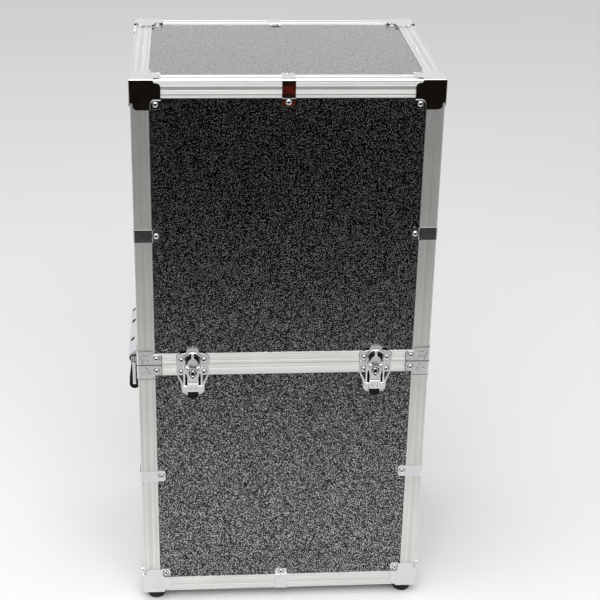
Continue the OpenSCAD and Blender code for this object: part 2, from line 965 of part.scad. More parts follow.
base_bottom_panel();
base_front_panel();
base_back_panel();
base_left_panel();
base_right_panel();
base_long_edges();
base_side_edges();
base_uprights();
base_long_rims();
base_side_rims();
base_corners();
base_rim_brackets();
base_edge_clips();
base_screws();
base_rivets();
feet();
foot_screws();
lid_top_panel();
lid_front_panel();
lid_back_panel();
lid_left_panel();
lid_right_panel();
lid_long_edges();
lid_side_edges();
lid_uprights();
lid_long_rims();
lid_side_rims();
lid_corners();
lid_rim_brackets();
lid_edge_clips();
lid_screws();
lid_rivets();
latch_keepers();
keeper_screws();
latch_plates();
latch_plate_screws();
lever_pins();
left_lever();
left_bail();
left_bail_pin();
left_thumb_tab();
left_lock_plug();
right_lever();
right_bail();
right_bail_pin();
right_thumb_tab();
right_lock_plug();
handle_housings();
handle_screws();
handle_pivots();
left_handle_bail();
left_handle_grip();
right_handle_bail();
right_handle_grip();
hinge_base_leaves();
hinge_lid_leaves();
hinge_pins();
rack_rails();
rail_screws();
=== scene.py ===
from math import cos, dist, hypot, pi, radians, sin, sqrt

import bmesh
import bpy
from mathutils import Matrix, Vector


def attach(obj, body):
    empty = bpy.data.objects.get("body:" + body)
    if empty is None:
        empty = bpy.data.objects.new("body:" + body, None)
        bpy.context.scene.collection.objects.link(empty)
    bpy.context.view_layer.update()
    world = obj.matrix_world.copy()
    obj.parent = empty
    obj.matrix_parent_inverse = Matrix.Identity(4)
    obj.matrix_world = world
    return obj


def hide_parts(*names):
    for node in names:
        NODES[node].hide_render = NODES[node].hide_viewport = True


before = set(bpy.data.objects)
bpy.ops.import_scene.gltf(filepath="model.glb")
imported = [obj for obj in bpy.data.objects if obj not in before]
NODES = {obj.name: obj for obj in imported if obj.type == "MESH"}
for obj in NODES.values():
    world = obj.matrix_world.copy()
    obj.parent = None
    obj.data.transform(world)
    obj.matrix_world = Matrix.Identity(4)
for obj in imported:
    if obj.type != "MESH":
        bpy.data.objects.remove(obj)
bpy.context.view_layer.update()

# ---------- sizes, millimetres, the same as the CAD ----------

W, D, H, SEAM = 530, 419, 1022, 494
FOOT_H, SHIFT_Y = 21, -0.55
HALF_GAP = 0.4
HALF_H = {"base": SEAM - HALF_GAP, "lid": H - SEAM - HALF_GAP}
EDGE_T, CORNER_T, STRAP = 2, 2.2, 1.4
LEG, RIM_H = 31, 20.8
CLIP_Z = {"base": 260, "lid": 278}
HOLE_AT, CLIP_AT, RIVET_AT, FOOT_AT = 42, 38.5, 19, 23.5
BRACKET_HOLE_AT, BRACKET_HOLE_Z = 34, 11.6
CLIP_W, TAB_LEN = 23, 14.5
LATCH_X, PLATE_W = 166, 58
PIN_Z, PIN_P, BAIL_Z = -5, 6, -41.5
LOCK_Z, THUMB_Z = -15, -57.5
GRIP_HALF, GRIP_DROP, PIVOT_P, PIVOT_Z = 95, 61, 13, 455
HOUSING_SCREW_Y = (-38, 44)
MM = 0.001


# ---------- node materials ----------

class Shader:
    """A Principled material with small helpers for procedural detail."""

    def __init__(self, name, color, metallic=0, roughness=0.5, ior=1.5, coat=0, coat_rough=0.1):
        self.mat = bpy.data.materials.new(name)
        self.mat.use_nodes = True
        self.t = self.mat.node_tree
        self.bsdf = self.t.nodes["Principled BSDF"]
        self.set(Base_Color=(*color, 1), Metallic=metallic, Roughness=roughness, IOR=ior,
                 Coat_Weight=coat, Coat_Roughness=coat_rough)
        self.coord = self.node("TexCoord").outputs["Object"]

    def put(self, socket, value):
        """Links an output to the socket, or sets a plain value on it."""
        if isinstance(value, bpy.types.NodeSocket):
            self.t.links.new(value, socket)
        else:
            socket.default_value = value

    def fill(self, node, sockets):
        for name, value in sockets.items():
            self.put(node.inputs[name.replace("_", " ")], value)
        return node

    def set(self, **sockets):
        self.fill(self.bsdf, sockets)

    def node(self, kind, **sockets):
        return self.fill(self.t.nodes.new("ShaderNode" + kind), sockets)

    def operate(self, kind, operation, values):
        made = self.t.nodes.new("ShaderNode" + kind)
        made.operation = operation
        for socket, value in zip(made.inputs, values):
            self.put(socket, value)
        return made.outputs

    def math(self, operation, *values):
        return self.operate("Math", operation, values)[0]

    def vector(self, operation, *values):
        outputs = self.operate("VectorMath", operation, values)
        return outputs["Value" if operation == "DISTANCE" else "Vector"]

    def add(self, a, b):
        return self.math("ADD", a, b)

    def sub(self, a, b):
        return self.math("SUBTRACT", a, b)

    def mul(self, a, b):
        return self.math("MULTIPLY", a, b)

    def noise(self, scale, detail=2, rough=0.5, vector=None):
        return self.node("TexNoise", Scale=scale, Detail=detail, Roughness=rough,
                         Vector=vector or self.coord).outputs["Fac"]

    def stretched(self, scale, detail, rough):
        """Noise with a scale for each axis."""
        place = self.node("Mapping", Scale=scale, Vector=self.coord).outputs["Vector"]
        return self.noise(1, detail, rough, place)

    def ramp(self, fac, stops):
        """Colour stops (place, grey or rgb)."""
        made = self.node("ValToRGB", Fac=fac)
        marks = made.color_ramp.elements
        while len(marks) < len(stops):
            marks.new(0.5)
        for i, (place, c) in enumerate(stops):
            marks[i].position = place
            marks[i].color = (c, c, c, 1) if isinstance(c, (int, float)) else (*c, 1)
        return made.outputs["Color"]

    def mix(self, fac, a, b, blend="MIX"):
        made = self.t.nodes.new("ShaderNodeMix")
        made.data_type = "RGBA"
        made.blend_type = blend
        self.put(made.inputs["Factor"], fac)
        for i, value in ((6, a), (7, b)):
            self.put(made.inputs[i], (*value, 1) if isinstance(value, tuple) else value)
        return made.outputs[2]

    def remap(self, fac, low, high, start=0, end=1):
        """fac taken from start to end, to low to high, clamped."""
        return self.node("MapRange", Value=fac, From_Min=start, From_Max=end,
                         To_Min=low, To_Max=high).outputs["Result"]

    def bump(self, height, strength, distance):
        made = self.node("Bump", Strength=strength, Distance=distance, Height=height)
        return made.outputs["Normal"]


def darker(tint):
    return tuple(c * 0.93 for c in tint)


def laminate_material():
    """Black laminate with a fine worm-like crackle; the figure fades at a low angle."""
    s = Shader("laminate_crackle", (0.1, 0.1, 0.1), metallic=0.97, roughness=0.22)
    warp = s.node("TexNoise", Scale=500, Detail=1, Vector=s.coord).outputs["Color"]
    grain = s.noise(560, 1, 0.5, s.vector("MULTIPLY_ADD", warp, (0.0008, 0.0008, 0.0008), s.coord))
    worms = s.ramp(grain, [(0.505, 0), (0.555, 0.12), (0.595, 0.55), (0.635, 1)])
    facing = s.node("LayerWeight", Blend=0.5).outputs["Facing"]
    strong = s.remap(facing, 1, 0.42, 0.3, 0.6)
    mottle = s.remap(s.noise(300, 1.5), 0.36, 0.86, 0.3, 0.7)
    figure = s.add(s.mul(worms, strong), s.mul(s.sub(1, strong), mottle))
    height = s.add(s.mul(worms, 0.8), s.mul(s.noise(1500, 2), 0.1))
    rough = s.mul(s.remap(worms, 0.18, 0.16), s.remap(s.noise(9, 3), 0.93, 1.08, 0.3, 0.7))
    s.set(Base_Color=s.mix(figure, (0.02, 0.02, 0.02), (0.62, 0.62, 0.61)), Roughness=rough,
          Metallic=s.remap(worms, 0.985, 0.93), Normal=s.bump(height, s.mul(strong, 0.2), 0.0006))
    return s.mat


# grooves of a section: (distance from the fold or the joint, half width)
GROOVES = {"rim": ((0.2, 0.4), (7.2, 1.3), (16.8, 0.5)), "aluminium": ((3.6, 0.6), (14.6, 2.7), (25.6, 0.8))}
CROWN_PITCH = 11.5


def section_place(s, along, part):
    """Height on the case, and distance round the section from its fold or from the joint."""
    axes = s.node("SeparateXYZ", Vector=s.coord).outputs
    x, y, z = (s.math("MULTIPLY_ADD", a, 1000, -zero) for a, zero in zip(axes, (0, SHIFT_Y, FOOT_H)))
    if part == "rim":
        return z, s.sub(s.math("ABSOLUTE", s.sub(z, SEAM)), HALF_GAP)
    far = {
        "x": s.sub(W / 2, s.math("ABSOLUTE", x)),
        "y": s.sub(D / 2, s.math("ABSOLUTE", y)),
        "z": s.math("MINIMUM", z, s.sub(H, z)),
    }
    a, b = (c for c in "xyz" if c != along)
    return z, s.add(far[a], far[b])


def groove_mask(s, u, grooves):
    mask = 0
    for centre, half in grooves:
        off = s.math("ABSOLUTE", s.sub(u, centre))
        mask = s.math("MAXIMUM", mask, s.remap(off, 1, 0, half, half + 0.7))
    return mask


def painted_groove_shade(s, along, part, z):
    """Painted shade in the grooves, how dark they are; those of the long edges are painted darker with
    height.
    """
    if part == "rim":
        return 0.95
    return {"x": s.remap(z, 0.96, 0.5, 200, 900), "y": 0.88, "z": 0.95}[along]


def lines_and_painted_light(s, along, part, z, u, lines):
    """Draw lines and slow clouds, then painted light: the long edges and the uprights lighter towards the
    top, painted shade across the base rim's section, and the lid's rim a flat 0.95.
    """
    cloud = s.noise(14, 4, 0.6)
    shade = s.add(s.remap(lines, 0.92, 1.05, 0.3, 0.7), s.remap(cloud, -0.03, 0.03, 0.3, 0.7))
    if part == "rim":
        # painted shade across the section of the base's rim; the lid's rim is painted a flat 0.95
        below = s.math("LESS_THAN", z, SEAM)
        band = s.ramp(s.math("DIVIDE", u, RIM_H), [(0, 0.9), (0.3, 1), (0.62, 1), (1, 0.88)])
        return s.mul(shade, s.add(s.mul(below, band), s.mul(s.sub(1, below), 0.95)))
    if along == "x":
        # painted light: the long edges lighter towards the top
        return s.mul(shade, s.remap(z, 0.84, 1, 0, 900))
    if along == "z":
        # painted light: the uprights lighter from 230 to 480 mm up
        return s.mul(shade, s.remap(z, 0.9, 1, 230, 480))
    return shade


def aluminium_material(part, along, tint, rough=0.48):
    """Satin extrusion: shine spreads across the draw lines, ribs follow the section."""
    s = Shader(part + "_along_" + along, tint, metallic=1, roughness=rough)
    axis = tuple(float(c == along) for c in "xyz")
    normal = s.node("NewGeometry").outputs["Normal"]
    s.set(Anisotropic=0.8, Tangent=s.vector("CROSS_PRODUCT", normal, axis))
    z, u = section_place(s, along, part)
    groove = groove_mask(s, u, GROOVES[part])
    crown = s.math("SINE", s.mul(u, 2 * pi / CROWN_PITCH))
    lines = s.stretched([3 if c == along else 420 for c in "xyz"], 3, 0.6)
    fine = s.stretched([9 if c == along else 1300 for c in "xyz"], 2, 0.6)
    scuff = s.ramp(s.noise(70, 5, 0.7), [(0.62, 0), (0.75, 1)])
    # tone of the draw lines and clouds, with painted light on height and painted shade across the rim
    shade = lines_and_painted_light(s, along, part, z, u, lines)
    # painted shade on the groove floors
    shade = s.mul(shade, s.remap(groove, 1, painted_groove_shade(s, along, part, z)))
    color = s.mix(1, tint, s.ramp(shade, [(0, 0), (1, 1)]), "MULTIPLY")
    shine = s.add(s.remap(fine, rough - 0.05, rough + 0.06, 0.3, 0.7), s.mul(scuff, 0.05))
    height = s.add(s.mul(lines, 0.05), s.mul(fine, 0.02))
    height = s.add(height, s.mul(s.sub(1, groove), 0.1 if part == "rim" else 0.4))
    height = s.add(height, s.mul(crown, 0.12))
    s.set(Base_Color=color, Roughness=shine, Normal=s.bump(height, 1, 0.001))
    return s.mat


def chrome_material(name, tint, rough, smudge, wave):
    """Plated pressing: faint waviness, smudges and hair scratches."""
    s = Shader(name, tint, metallic=1, roughness=rough)
    haze = s.ramp(s.noise(60, 5, 0.65), [(0.4, 0), (0.7, 1)])
    hair = s.ramp(s.stretched((900, 160, 250), 2, 0.5), [(0.66, 0), (0.72, 1)])
    shine = s.add(s.remap(haze, rough, rough + smudge), s.mul(hair, 0.08))
    height = s.add(s.noise(85, 1, 0.4), s.mul(hair, 0.02))
    s.set(Base_Color=s.mix(haze, tint, darker(tint)), Roughness=shine, Normal=s.bump(height, wave, 0.0012))
    return s.mat


def rubber_material(name, tone, level, rough, grain=900):
    """Dark rubber or plastic with fine grain and patches of dust; level is its specular level."""
    s = Shader(name, (tone, tone, tone), roughness=rough)
    g = s.noise(grain, 3, 0.6)
    dust = s.ramp(s.noise(45, 4, 0.6), [(0.5, 0), (0.8, 1)])
    s.set(Base_Color=s.mix(dust, (tone, tone, tone * 1.02), (tone * 2.4, tone * 2.4, tone * 2.3)),
          Roughness=s.remap(g, rough - 0.08, rough + 0.1, 0.3, 0.7),
          Specular_IOR_Level=level, Normal=s.bump(g, 0.25, 0.0003))
    return s.mat


def painted_material(name, tint, rough=0.35, grain=260):
    """Thin coat of paint with a faint orange peel; on the brackets' pressed lines its dark tone is painted
    shade.
    """
    s = Shader(name, tint, roughness=rough, coat=0.3, coat_rough=0.15)
    w = s.noise(25, 4, 0.6)
    s.set(Base_Color=s.mix(s.remap(w, 0, 1, 0.3, 0.7), darker(tint), tint),
          Roughness=s.remap(w, rough - 0.05, rough + 0.08, 0.3, 0.7),
          Normal=s.bump(s.noise(grain, 3), 0.12, 0.0004))
    return s.mat


LAMINATE = laminate_material()
ALU_X = aluminium_material("aluminium", "x", (0.93, 0.93, 0.91))
ALU_Y = aluminium_material("aluminium", "y", (0.93, 0.93, 0.92))
ALU_Z = aluminium_material("aluminium", "z", (0.97, 0.97, 0.945), 0.6)
RIM_X, RIM_Y = (aluminium_material("rim", c, (0.94, 0.94, 0.92)) for c in "xy")
CHROME = chrome_material("chrome_pressed", (0.71, 0.71, 0.73), 0.05, 0.07, 0.08)
CHROME_LATCH = chrome_material("chrome_latch", (0.95, 0.95, 0.95), 0.13, 0.12, 0.06)
PLATE = chrome_material("satin_plate", (0.97, 0.97, 0.96), 0.3, 0.1, 0.06)
BRACKET = chrome_material("nickel_bracket", (0.93, 0.93, 0.915), 0.26, 0.16, 0.1)
FASTENER = chrome_material("nickel_fastener", (0.8, 0.8, 0.8), 0.14, 0.12, 0.03)
# dark knurled steel of the pivots and lock plugs, also used for the painted shade on the bail's crown
PIVOT = chrome_material("knurled_steel_and_painted_shade", (0.09, 0.09, 0.09), 0.2, 0.15, 0.1)
RUBBER = rubber_material("foot_rubber", 0.009, 0.2, 0.55)
GRIP = rubber_material("grip_rubber", 0.008, 0.15, 0.55, 1200)
TAB = rubber_material("thumb_tab_plastic", 0.006, 0.14, 0.16, 700)
# black for the handle screws, and for the sheets of painted shade in recesses, gaps, creases and round plates
BLACK = rubber_material("black_and_painted_shade", 0.006, 0, 0.45)
HOUSING = painted_material("housing_grey", (0.62, 0.63, 0.66))
# dark strips of painted shade along the pressed lines of the brackets
LINE = painted_material("pressed_line_shade", (0.035, 0.035, 0.033), 0.6)
RAIL = painted_material("rail_black", (0.02, 0.02, 0.021), 0.45, 700)


# ---------- mesh helpers, local millimetres ----------

def area(p):
    return sum(a[0] * b[1] - b[0] * a[1] for a, b in zip(p, p[1:] + p[:1])) / 2


def arc(cx, cy, r, a0, a1, n=8):
    turns = [radians(a0 + (a1 - a0) * i / n) for i in range(n + 1)]
    return [(cx + r * cos(a), cy + r * sin(a)) for a in turns]


def circle(n):
    return [(cos(a), sin(a)) for a in (2 * pi * i / n for i in range(n))]


def half_oval(cy, rx, ry, n):
    """Upper half of an oval about x = 0, from right to left."""
    return [(rx * cos(a), cy + ry * sin(a)) for a in (pi * i / n for i in range(n + 1))]


def symmetric(right, middle=()):
    """Outline of the right half, a middle that is symmetric itself, and the mirrored half."""
    return right + list(middle) + [(-x, y) for x, y in right[::-1]]


def move(x=0, y=0, z=0):
    return Matrix.Translation((x, y, z))


def turn(deg, axis):
    return Matrix.Rotation(radians(deg), 4, axis)


def rows(*r):
    return Matrix([list(x) for x in r] + [[0, 0, 0, 1]])


IDENTITY = Matrix.Identity(4)
MIRROR_X = Matrix.Diagonal((-1, 1, 1, 1))
MIRROR_Y = Matrix.Diagonal((1, -1, 1, 1))
MIRROR_Z = Matrix.Diagonal((1, 1, -1, 1))
SWAP_YZ = rows((1, 0, 0, 0), (0, 0, 1, 0), (0, 1, 0, 0))
CYCLE = rows((0, 0, 1, 0), (1, 0, 0, 0), (0, 1, 0, 0))

# spaces of the two halves and of the joint
BASE = move(0, SHIFT_Y, FOOT_H)
LID = move(0, SHIFT_Y, FOOT_H + H) @ MIRROR_Z
HALVES = {"base": BASE, "lid": LID}
JOINT = move(0, SHIFT_Y, FOOT_H + SEAM)

# faces: u to the right, v up, w outward
FRONT = rows((1, 0, 0, 0), (0, 0, -1, -D / 2), (0, 1, 0, 0))
BACK = rows((-1, 0, 0, 0), (0, 0, 1, D / 2), (0, 1, 0, 0))
LEFT = rows((0, 0, -1, -W / 2), (-1, 0, 0, 0), (0, 1, 0, 0))
RIGHT = rows((0, 0, 1, W / 2), (1, 0, 0, 0), (0, 1, 0, 0))
CLOSED = rows((1, 0, 0, 0), (0, -1, 0, 0), (0, 0, -1, 0))

QUAD = [a @ b for a in (IDENTITY, MIRROR_X) for b in (IDENTITY, MIRROR_Y)]


class Shape:
    """Collects closed solids made in local millimetres."""

    def __init__(self):
        self.v, self.f = [], []

    def add(self, verts, faces, m=IDENTITY):
        k = len(self.v)
        self.v += [m @ Vector(p) for p in verts]
        flip = m.to_3x3().determinant() < 0
        self.f += [tuple(k + i for i in (reversed(f) if flip else f)) for f in faces]
        return self

    def merge(self, other, m=IDENTITY):
        return self.add(other.v, other.f, m)

    def at_corners(self, other, half, *place):
        """Adds the other shape at a place and at its mirror places."""
        for q in QUAD:
            self.merge(other, half @ q @ move(*place))
        return self

    def soft(self, other, width, segments=2):
        """Adds the other shape with its edges rounded."""
        return self.merge(rounded(other, width, segments))

    def loft(self, rings, m=IDENTITY):
        """Skin through closed rings of the same count, with a cap at each end."""
        k = len(rings[0])
        verts = [p for ring in rings for p in ring]
        last = len(verts) - k
        faces = [(a + i, a + (i + 1) % k, a + k + (i + 1) % k, a + k + i)
                 for a in range(0, last, k) for i in range(k)]
        return self.add(verts, faces + [tuple(range(k))[::-1], tuple(range(last, last + k))], m)

    def prism(self, outline, z0, z1, m=IDENTITY):
        if area(outline) < 0:
            outline = outline[::-1]
        return self.loft([[(x, y, z) for x, y in outline] for z in (z0, z1)], m)

    def lathe(self, profile, n=32, m=IDENTITY):
        """profile: (r, z) from the axis at the bottom to the axis at the top."""
        verts, rings = [], []
        for r, z in profile:
            k = len(verts)
            verts += [(r * c, r * s, z) for c, s in circle(n)] if r else [(0, 0, z)]
            rings.append(range(k, k + n) if r else [k] * n)
        faces = []
        for a, b in zip(rings, rings[1:]):
            for i in range(n):
                j = (i + 1) % n
                face = tuple(dict.fromkeys((a[i], a[j], b[j], b[i])))
                if len(face) > 2:
                    faces.append(face)
        return self.add(verts, faces, m)

    def box(self, lo, hi, m=IDENTITY):
        return self.prism([(lo[0], lo[1]), (hi[0], lo[1]), (hi[0], hi[1]), (lo[0], hi[1])],
                          lo[2], hi[2], m)

    def mesh(self, name):
        me = bpy.data.meshes.new(name)
        me.from_pydata([tuple(p) for p in self.v], [], self.f)
        me.validate()
        return me


def box(lo, hi):
    return Shape().box(lo, hi)


def prism(outline, z0, z1, m=IDENTITY):
    return Shape().prism(outline, z0, z1, m)


def lathe(profile, n, m=IDENTITY):
    return Shape().lathe(profile, n, m)


def rod(r, z0, z1, n, m=IDENTITY):
    return lathe([(0, z0), (r, z0), (r, z1), (0, z1)], n, m)


def linked(name, data):
    o = bpy.data.objects.new(name, data)
    bpy.context.scene.collection.objects.link(o)
    return o


def evaluated(me, setup):
    """The shape of a mesh after the modifiers that setup(object) adds."""
    o = linked("working", me)
    setup(o)
    dg = bpy.context.evaluated_depsgraph_get()
    out = bpy.data.meshes.new_from_object(o.evaluated_get(dg), depsgraph=dg)
    bpy.data.objects.remove(o)
    s = Shape()
    s.v = [v.co.copy() for v in out.vertices]
    s.f = [tuple(p.vertices) for p in out.polygons]
    return s


def bevel(o, width, segments=2, angle=35, weight=False):
    m = o.modifiers.new("bevel", "BEVEL")
    m.width = width
    m.segments = segments
    m.limit_method = "WEIGHT" if weight else "ANGLE"
    m.angle_limit = radians(angle)
    return m


def thicken(o, thick, edge):
    """Thickness inward from the outer skin, then a soft edge."""
    m = o.modifiers.new("solid", "SOLIDIFY")
    m.thickness = thick
    m.offset = -1
    m.use_even_offset = True
    bevel(o, edge, 2, 50)


def rounded(shape, width, segments=2, angle=35):
    return evaluated(shape.mesh("sharp"), lambda o: bevel(o, width, segments, angle))


def cut(shape, cutter):
    """shape minus cutter, exact boolean, both closed."""
    c = linked("cutter", cutter.mesh("cutter"))

    def setup(o):
        m = o.modifiers.new("cut", "BOOLEAN")
        m.operation = "DIFFERENCE"
        m.solver = "EXACT"
        m.object = c

    out = evaluated(shape.mesh("whole"), setup)
    bpy.data.objects.remove(c)
    return out


def folded(bm, outward, radius, steps, thick, edge):
    """A bent sheet from the flat faces of its outer skin; edges that two faces share are folds."""
    for f in bm.faces:
        f.normal_update()
        if f.normal.dot(Vector(outward)) < 0:
            f.normal_flip()
    fold = bm.edges.layers.float.new("bevel_weight_edge")
    for e in bm.edges:
        e[fold] = 1 if len(e.link_faces) == 2 else 0
    me = bpy.data.meshes.new("skin")
    bm.to_mesh(me)
    bm.free()

    def setup(o):
        bevel(o, radius, steps, weight=True).use_clamp_overlap = False
        thicken(o, thick, edge)

    return evaluated(me, setup)


def piece(name, shape, mat, body, slot="chrome", smooth=30):
    """Makes the object in metres, on its body; a name that ends in _fine stands for that CAD node."""
    me = shape.mesh(name)
    me.transform(Matrix.Scale(MM, 4))
    o = linked(name, me)
    me.materials.append(mat)
    me.shade_smooth()
    bm = bmesh.new()
    bm.from_mesh(me)
    limit = radians(smooth)
    for e in bm.edges:
        if len(e.link_faces) == 2:
            e.smooth = e.calc_face_angle(0) < limit
    bm.to_mesh(me)
    bm.free()
    w = o.modifiers.new("weighted", "WEIGHTED_NORMAL")
    w.keep_sharp = True
    w.weight = 90
    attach(o, body)
    if name.endswith("_fine"):
        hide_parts(name[:-5])


# ---------- screws and rivets ----------

def cross_outline(w, reach):
    """A cross with arms of half width w."""
    points = [(w, w), (reach, w), (reach, -w)]
    while len(points) < 12:
        x, y = points[-3]
        points.append((y, -x))
    return points


def screw_shape(r):
    """Washer-like pan head with a deep cross recess; the seat is z = 0."""
    profile = [(0, -0.4), (1, -0.4), (1, 0.45), (0.97, 0.75), (0.9, 1), (0.82, 1.1), (0.75, 0.75),
               (0.68, 1.25), (0.55, 1.72), (0.3, 1.95), (0, 2)]
    head = lathe([(r * k, z) for k, z in profile], 28)
    head = cut(head, lathe([(0, 0.5), (r * 0.2, 0.6), (r * 0.38, 2.6), (0, 2.6)], 20))
    return cut(head, prism(cross_outline(r * 0.12, r * 0.56), 0.7, 4, turn(45, "Z")))


def recess_shade_shape(r):
    """Painted shade: black sheets at the bottom of the cross recess, and the dark ring that shows round the
    head.
    """
    s = prism(cross_outline(r * 0.13, r * 0.55), 0.6, 0.95, turn(45, "Z"))
    s.merge(rod(r + 0.55, 0.02, 0.3, 24))
    return s.lathe([(0, 0.5), (r * 0.3, 0.5), (r * 0.38, 1.86), (r * 0.3, 1.6), (r * 0.1, 1.2), (0, 1.1)], 18)


def half_seats(h, clip_z):
    """Places of the screw heads on one half that is h high."""
    out = []
    seat = STRAP - EDGE_T
    for face, wide in ((FRONT, W), (BACK, W), (LEFT, D), (RIGHT, D)):
        for s in (-1, 1):
            out += [face @ move(s * (wide / 2 - HOLE_AT), HOLE_AT, seat),
                    face @ move(s * (wide / 2 - CLIP_AT), clip_z, seat),
                    face @ move(s * (wide / 2 - BRACKET_HOLE_AT), h - BRACKET_HOLE_Z, STRAP)]
        if wide == W:
            out.append(face @ move(0, CLIP_AT, seat))
    out += [CLOSED @ q @ move(W / 2 - HOLE_AT, D / 2 - HOLE_AT, seat) for q in QUAD]
    return out + [CLOSED @ move(0, s * (D / 2 - CLIP_AT), seat) for s in (-1, 1)]


def screws():
    """Case screws, each with its own turn, and the small ones in the hinge leaves."""
    big, small, recess = screw_shape(5.2), screw_shape(3.9), recess_shade_shape(5.2)
    for body, half in HALVES.items():
        s, dark = Shape(), Shape()
        for k, m in enumerate(half_seats(HALF_H[body], CLIP_Z[body])):
            place = half @ m @ turn((k * 67) % 90, "Z")
            s.merge(big, place)
            dark.merge(recess, place)
        for a in (-1, 1):
            for off in (-24, 24):
                s.merge(small, JOINT @ BACK @ move(a * LATCH_X + off, 12 if body == "lid" else -12, 2))
        # painted shade in the cross recesses and round the heads
        piece(body + "_screws_recesses", dark, BLACK, body, "fastener")
        piece(body + "_screws_fine", s, FASTENER, body, "fastener")


def rivets():
    rivet = lathe([(0, -0.3), (3.6, -0.3), (3.6, 0.3), (3.3, 0.8), (2.6, 1.15), (1.6, 1.35), (1.3, 1.2),
                   (0.9, 0.9), (0, 0.85)], 24)
    for body, half in HALVES.items():
        s = Shape()
        for a in (-1, 1):
            s.merge(rivet, half @ CLOSED @ move(a * (W / 2 - RIVET_AT), 0, 0))
        for face in (LEFT, RIGHT):
            s.merge(rivet, half @ face @ move(0, RIVET_AT, 0))
        piece(body + "_rivets_fine", s, FASTENER, body, "fastener")


# ---------- pressed corners ----------

def corner_skin():
    """Three plates that share their folds, as a bmesh of flat faces."""
    t = CORNER_T
    half = [(38.6, -t), (39.5, 3.4), (40.4, 4.3), (41.6, 4.6), (43.6, 4.6)]
    half += arc(43.7, 12.2, 7.6, -90, 0, 7)[1:]
    half += [(51.3, 34.3), (50.8, 35.2), (49.8, 35.5), (41, 35.5)]
    half += arc(41.1, 41.1, 5.6, -90, -125, 4)
    outline = [(-t, -t)] + half + [(37.14, 37.14)] + [(b, a) for a, b in half[::-1]]
    bm = bmesh.new()
    made = {}
    for place in (lambda a, b: (a, b, -t), lambda a, b: (-t, a, b), lambda a, b: (b, -t, a)):
        ring = []
        for p in (place(a, b) for a, b in outline):
            key = tuple(round(c, 4) for c in p)
            if key not in made:
                made[key] = bm.verts.new(p)
            ring.append(made[key])
        bm.faces.new(ring[::-1])
    return bm


def corner_bead():
    """Raised bead round the notch of one plate."""
    t = CORNER_T
    section = ((7.9, -t + 0.3), (7.9, -t - 0.2), (7.6, -t - 0.5), (7.1, -t - 0.52), (5.9, -t + 0.1),
               (5.7, 1.4))
    paths = []
    for r, z in section[::-1]:
        path = [(51.2, 41.1 - r)] + arc(41.1, 41.1, r, -90, -180, 10) + [(41.1 - r, 51.2)]
        paths.append([(a, b, z) for a, b in path])
    return Shape().loft(list(zip(*paths)))


def corner_shape():
    s = folded(corner_skin(), (-1, -1, -1), 2.9, 5, CORNER_T - 0.02, 0.55)
    tab = [(30.5, 30.5), (50.8, 30.5)] + arc(45.2, 45.2, 5.6, 0, 90, 6) + [(30.5, 50.8)]
    flap = rounded(prism(tab, EDGE_T - STRAP, EDGE_T - 0.02), 0.5)
    bead = corner_bead()
    for m in (IDENTITY, CYCLE, CYCLE @ CYCLE):
        s.merge(flap, m)
        s.merge(bead, m)
    return s


def corners():
    corner = corner_shape()
    for body, half in HALVES.items():
        s = Shape().at_corners(corner, half, -W / 2, -D / 2, 0)
        piece(body + "_corners_fine", s, CHROME, body, smooth=40)


# ---------- edge clips ----------

def strap_shape(path, thick, across=9):
    """A strip over a path of (u, v) outer points, with the width of a clip."""
    length = [0]
    for a, b in zip(path, path[1:]):
        length.append(length[-1] + dist(a, b))
    verts, faces = [], []
    for (u, v), s in zip(path, length):
        w = clip_width(min(s, length[-1] - s))
        verts += [(u, v, w * (2 * j / (across - 1) - 1)) for j in range(across)]
    for i in range(len(path) - 1):
        for j in range(across - 1):
            a = i * across + j
            faces.append((a, a + 1, a + across + 1, a + across))
    return evaluated(Shape().add(verts, faces).mesh("strap"), lambda o: thicken(o, thick, 0.35))


def clip_width(s):
    """Half width of a clip at distance s from its end, with rounded tips."""
    tip = 5
    if s >= tip:
        return CLIP_W / 2
    return CLIP_W / 2 - tip + sqrt(max(tip * tip - (tip - s) ** 2, 0))


def clip_shape():
    t = STRAP
    end = LEG + TAB_LEN
    bend = 2.6 + t
    run = [(end - d, EDGE_T - t) for d in (0, 0.25, 0.8, 1.6, 2.8, 4.2, 6, 9)]
    run += [(LEG + 2.1, EDGE_T - t), (LEG + 1.5, EDGE_T - t - 0.25), (LEG + 0.9, 0), (LEG + 0.5, -t + 0.3),
            (LEG - 0.2, -t), (20, -t), (10, -t)]
    path = run + arc(bend - t, bend - t, bend, -90, -180, 6) + [(b, a) for a, b in run[::-1]]
    return strap_shape(path, t - 0.03)


def clips():
    clip = clip_shape()
    for body, half in HALVES.items():
        s = Shape().at_corners(clip, half, -W / 2, -D / 2, CLIP_Z[body])
        for m in (IDENTITY, MIRROR_Y):
            s.merge(clip, half @ m @ move(0, -D / 2, 0) @ turn(90, "Z") @ turn(90, "X"))
        piece(body + "_edge_clips_fine", s, CHROME, body, smooth=40)


# ---------- brackets over the joint corners ----------

def bracket_shape():
    t = STRAP
    side = [(39, 0)] + arc(39, -4.5, 4.5, 90, 0, 6)[1:] + arc(39, -14.5, 4.5, 0, -90, 6)
    side += [(30.6, -19), (29.2, -19.6), (28.6, -21), (28.6, -25.5)] + arc(26.6, -25.5, 2, 0, -90, 3)
    bm = bmesh.new()
    top = bm.verts.new((-t, -t, 0))
    low = bm.verts.new((-t, -t, -27.5))
    front = [top] + [bm.verts.new((a, -t, b)) for a, b in side] + [low]
    left = [top] + [bm.verts.new((-t, a, b)) for a, b in side] + [low]
    bm.faces.new(front[::-1])
    bm.faces.new(left)
    return folded(bm, (-1, -1, 0), 3, 4, t - 0.03, 0.4)


def line_shape(path, width, z0, z1):
    """A strip of even width along a path in the plane."""
    s = Shape()
    for (ax, ay), (bx, by) in zip(path, path[1:]):
        d = hypot(bx - ax, by - ay) or 1
        ux, uy = (bx - ax) / d * width / 2, (by - ay) / d * width / 2
        s.prism([(ax - ux - uy, ay - uy + ux), (ax - ux + uy, ay - uy - ux),
                 (bx + ux + uy, by + uy - ux), (bx + ux - uy, by + uy + ux)], z0, z1)
    return s


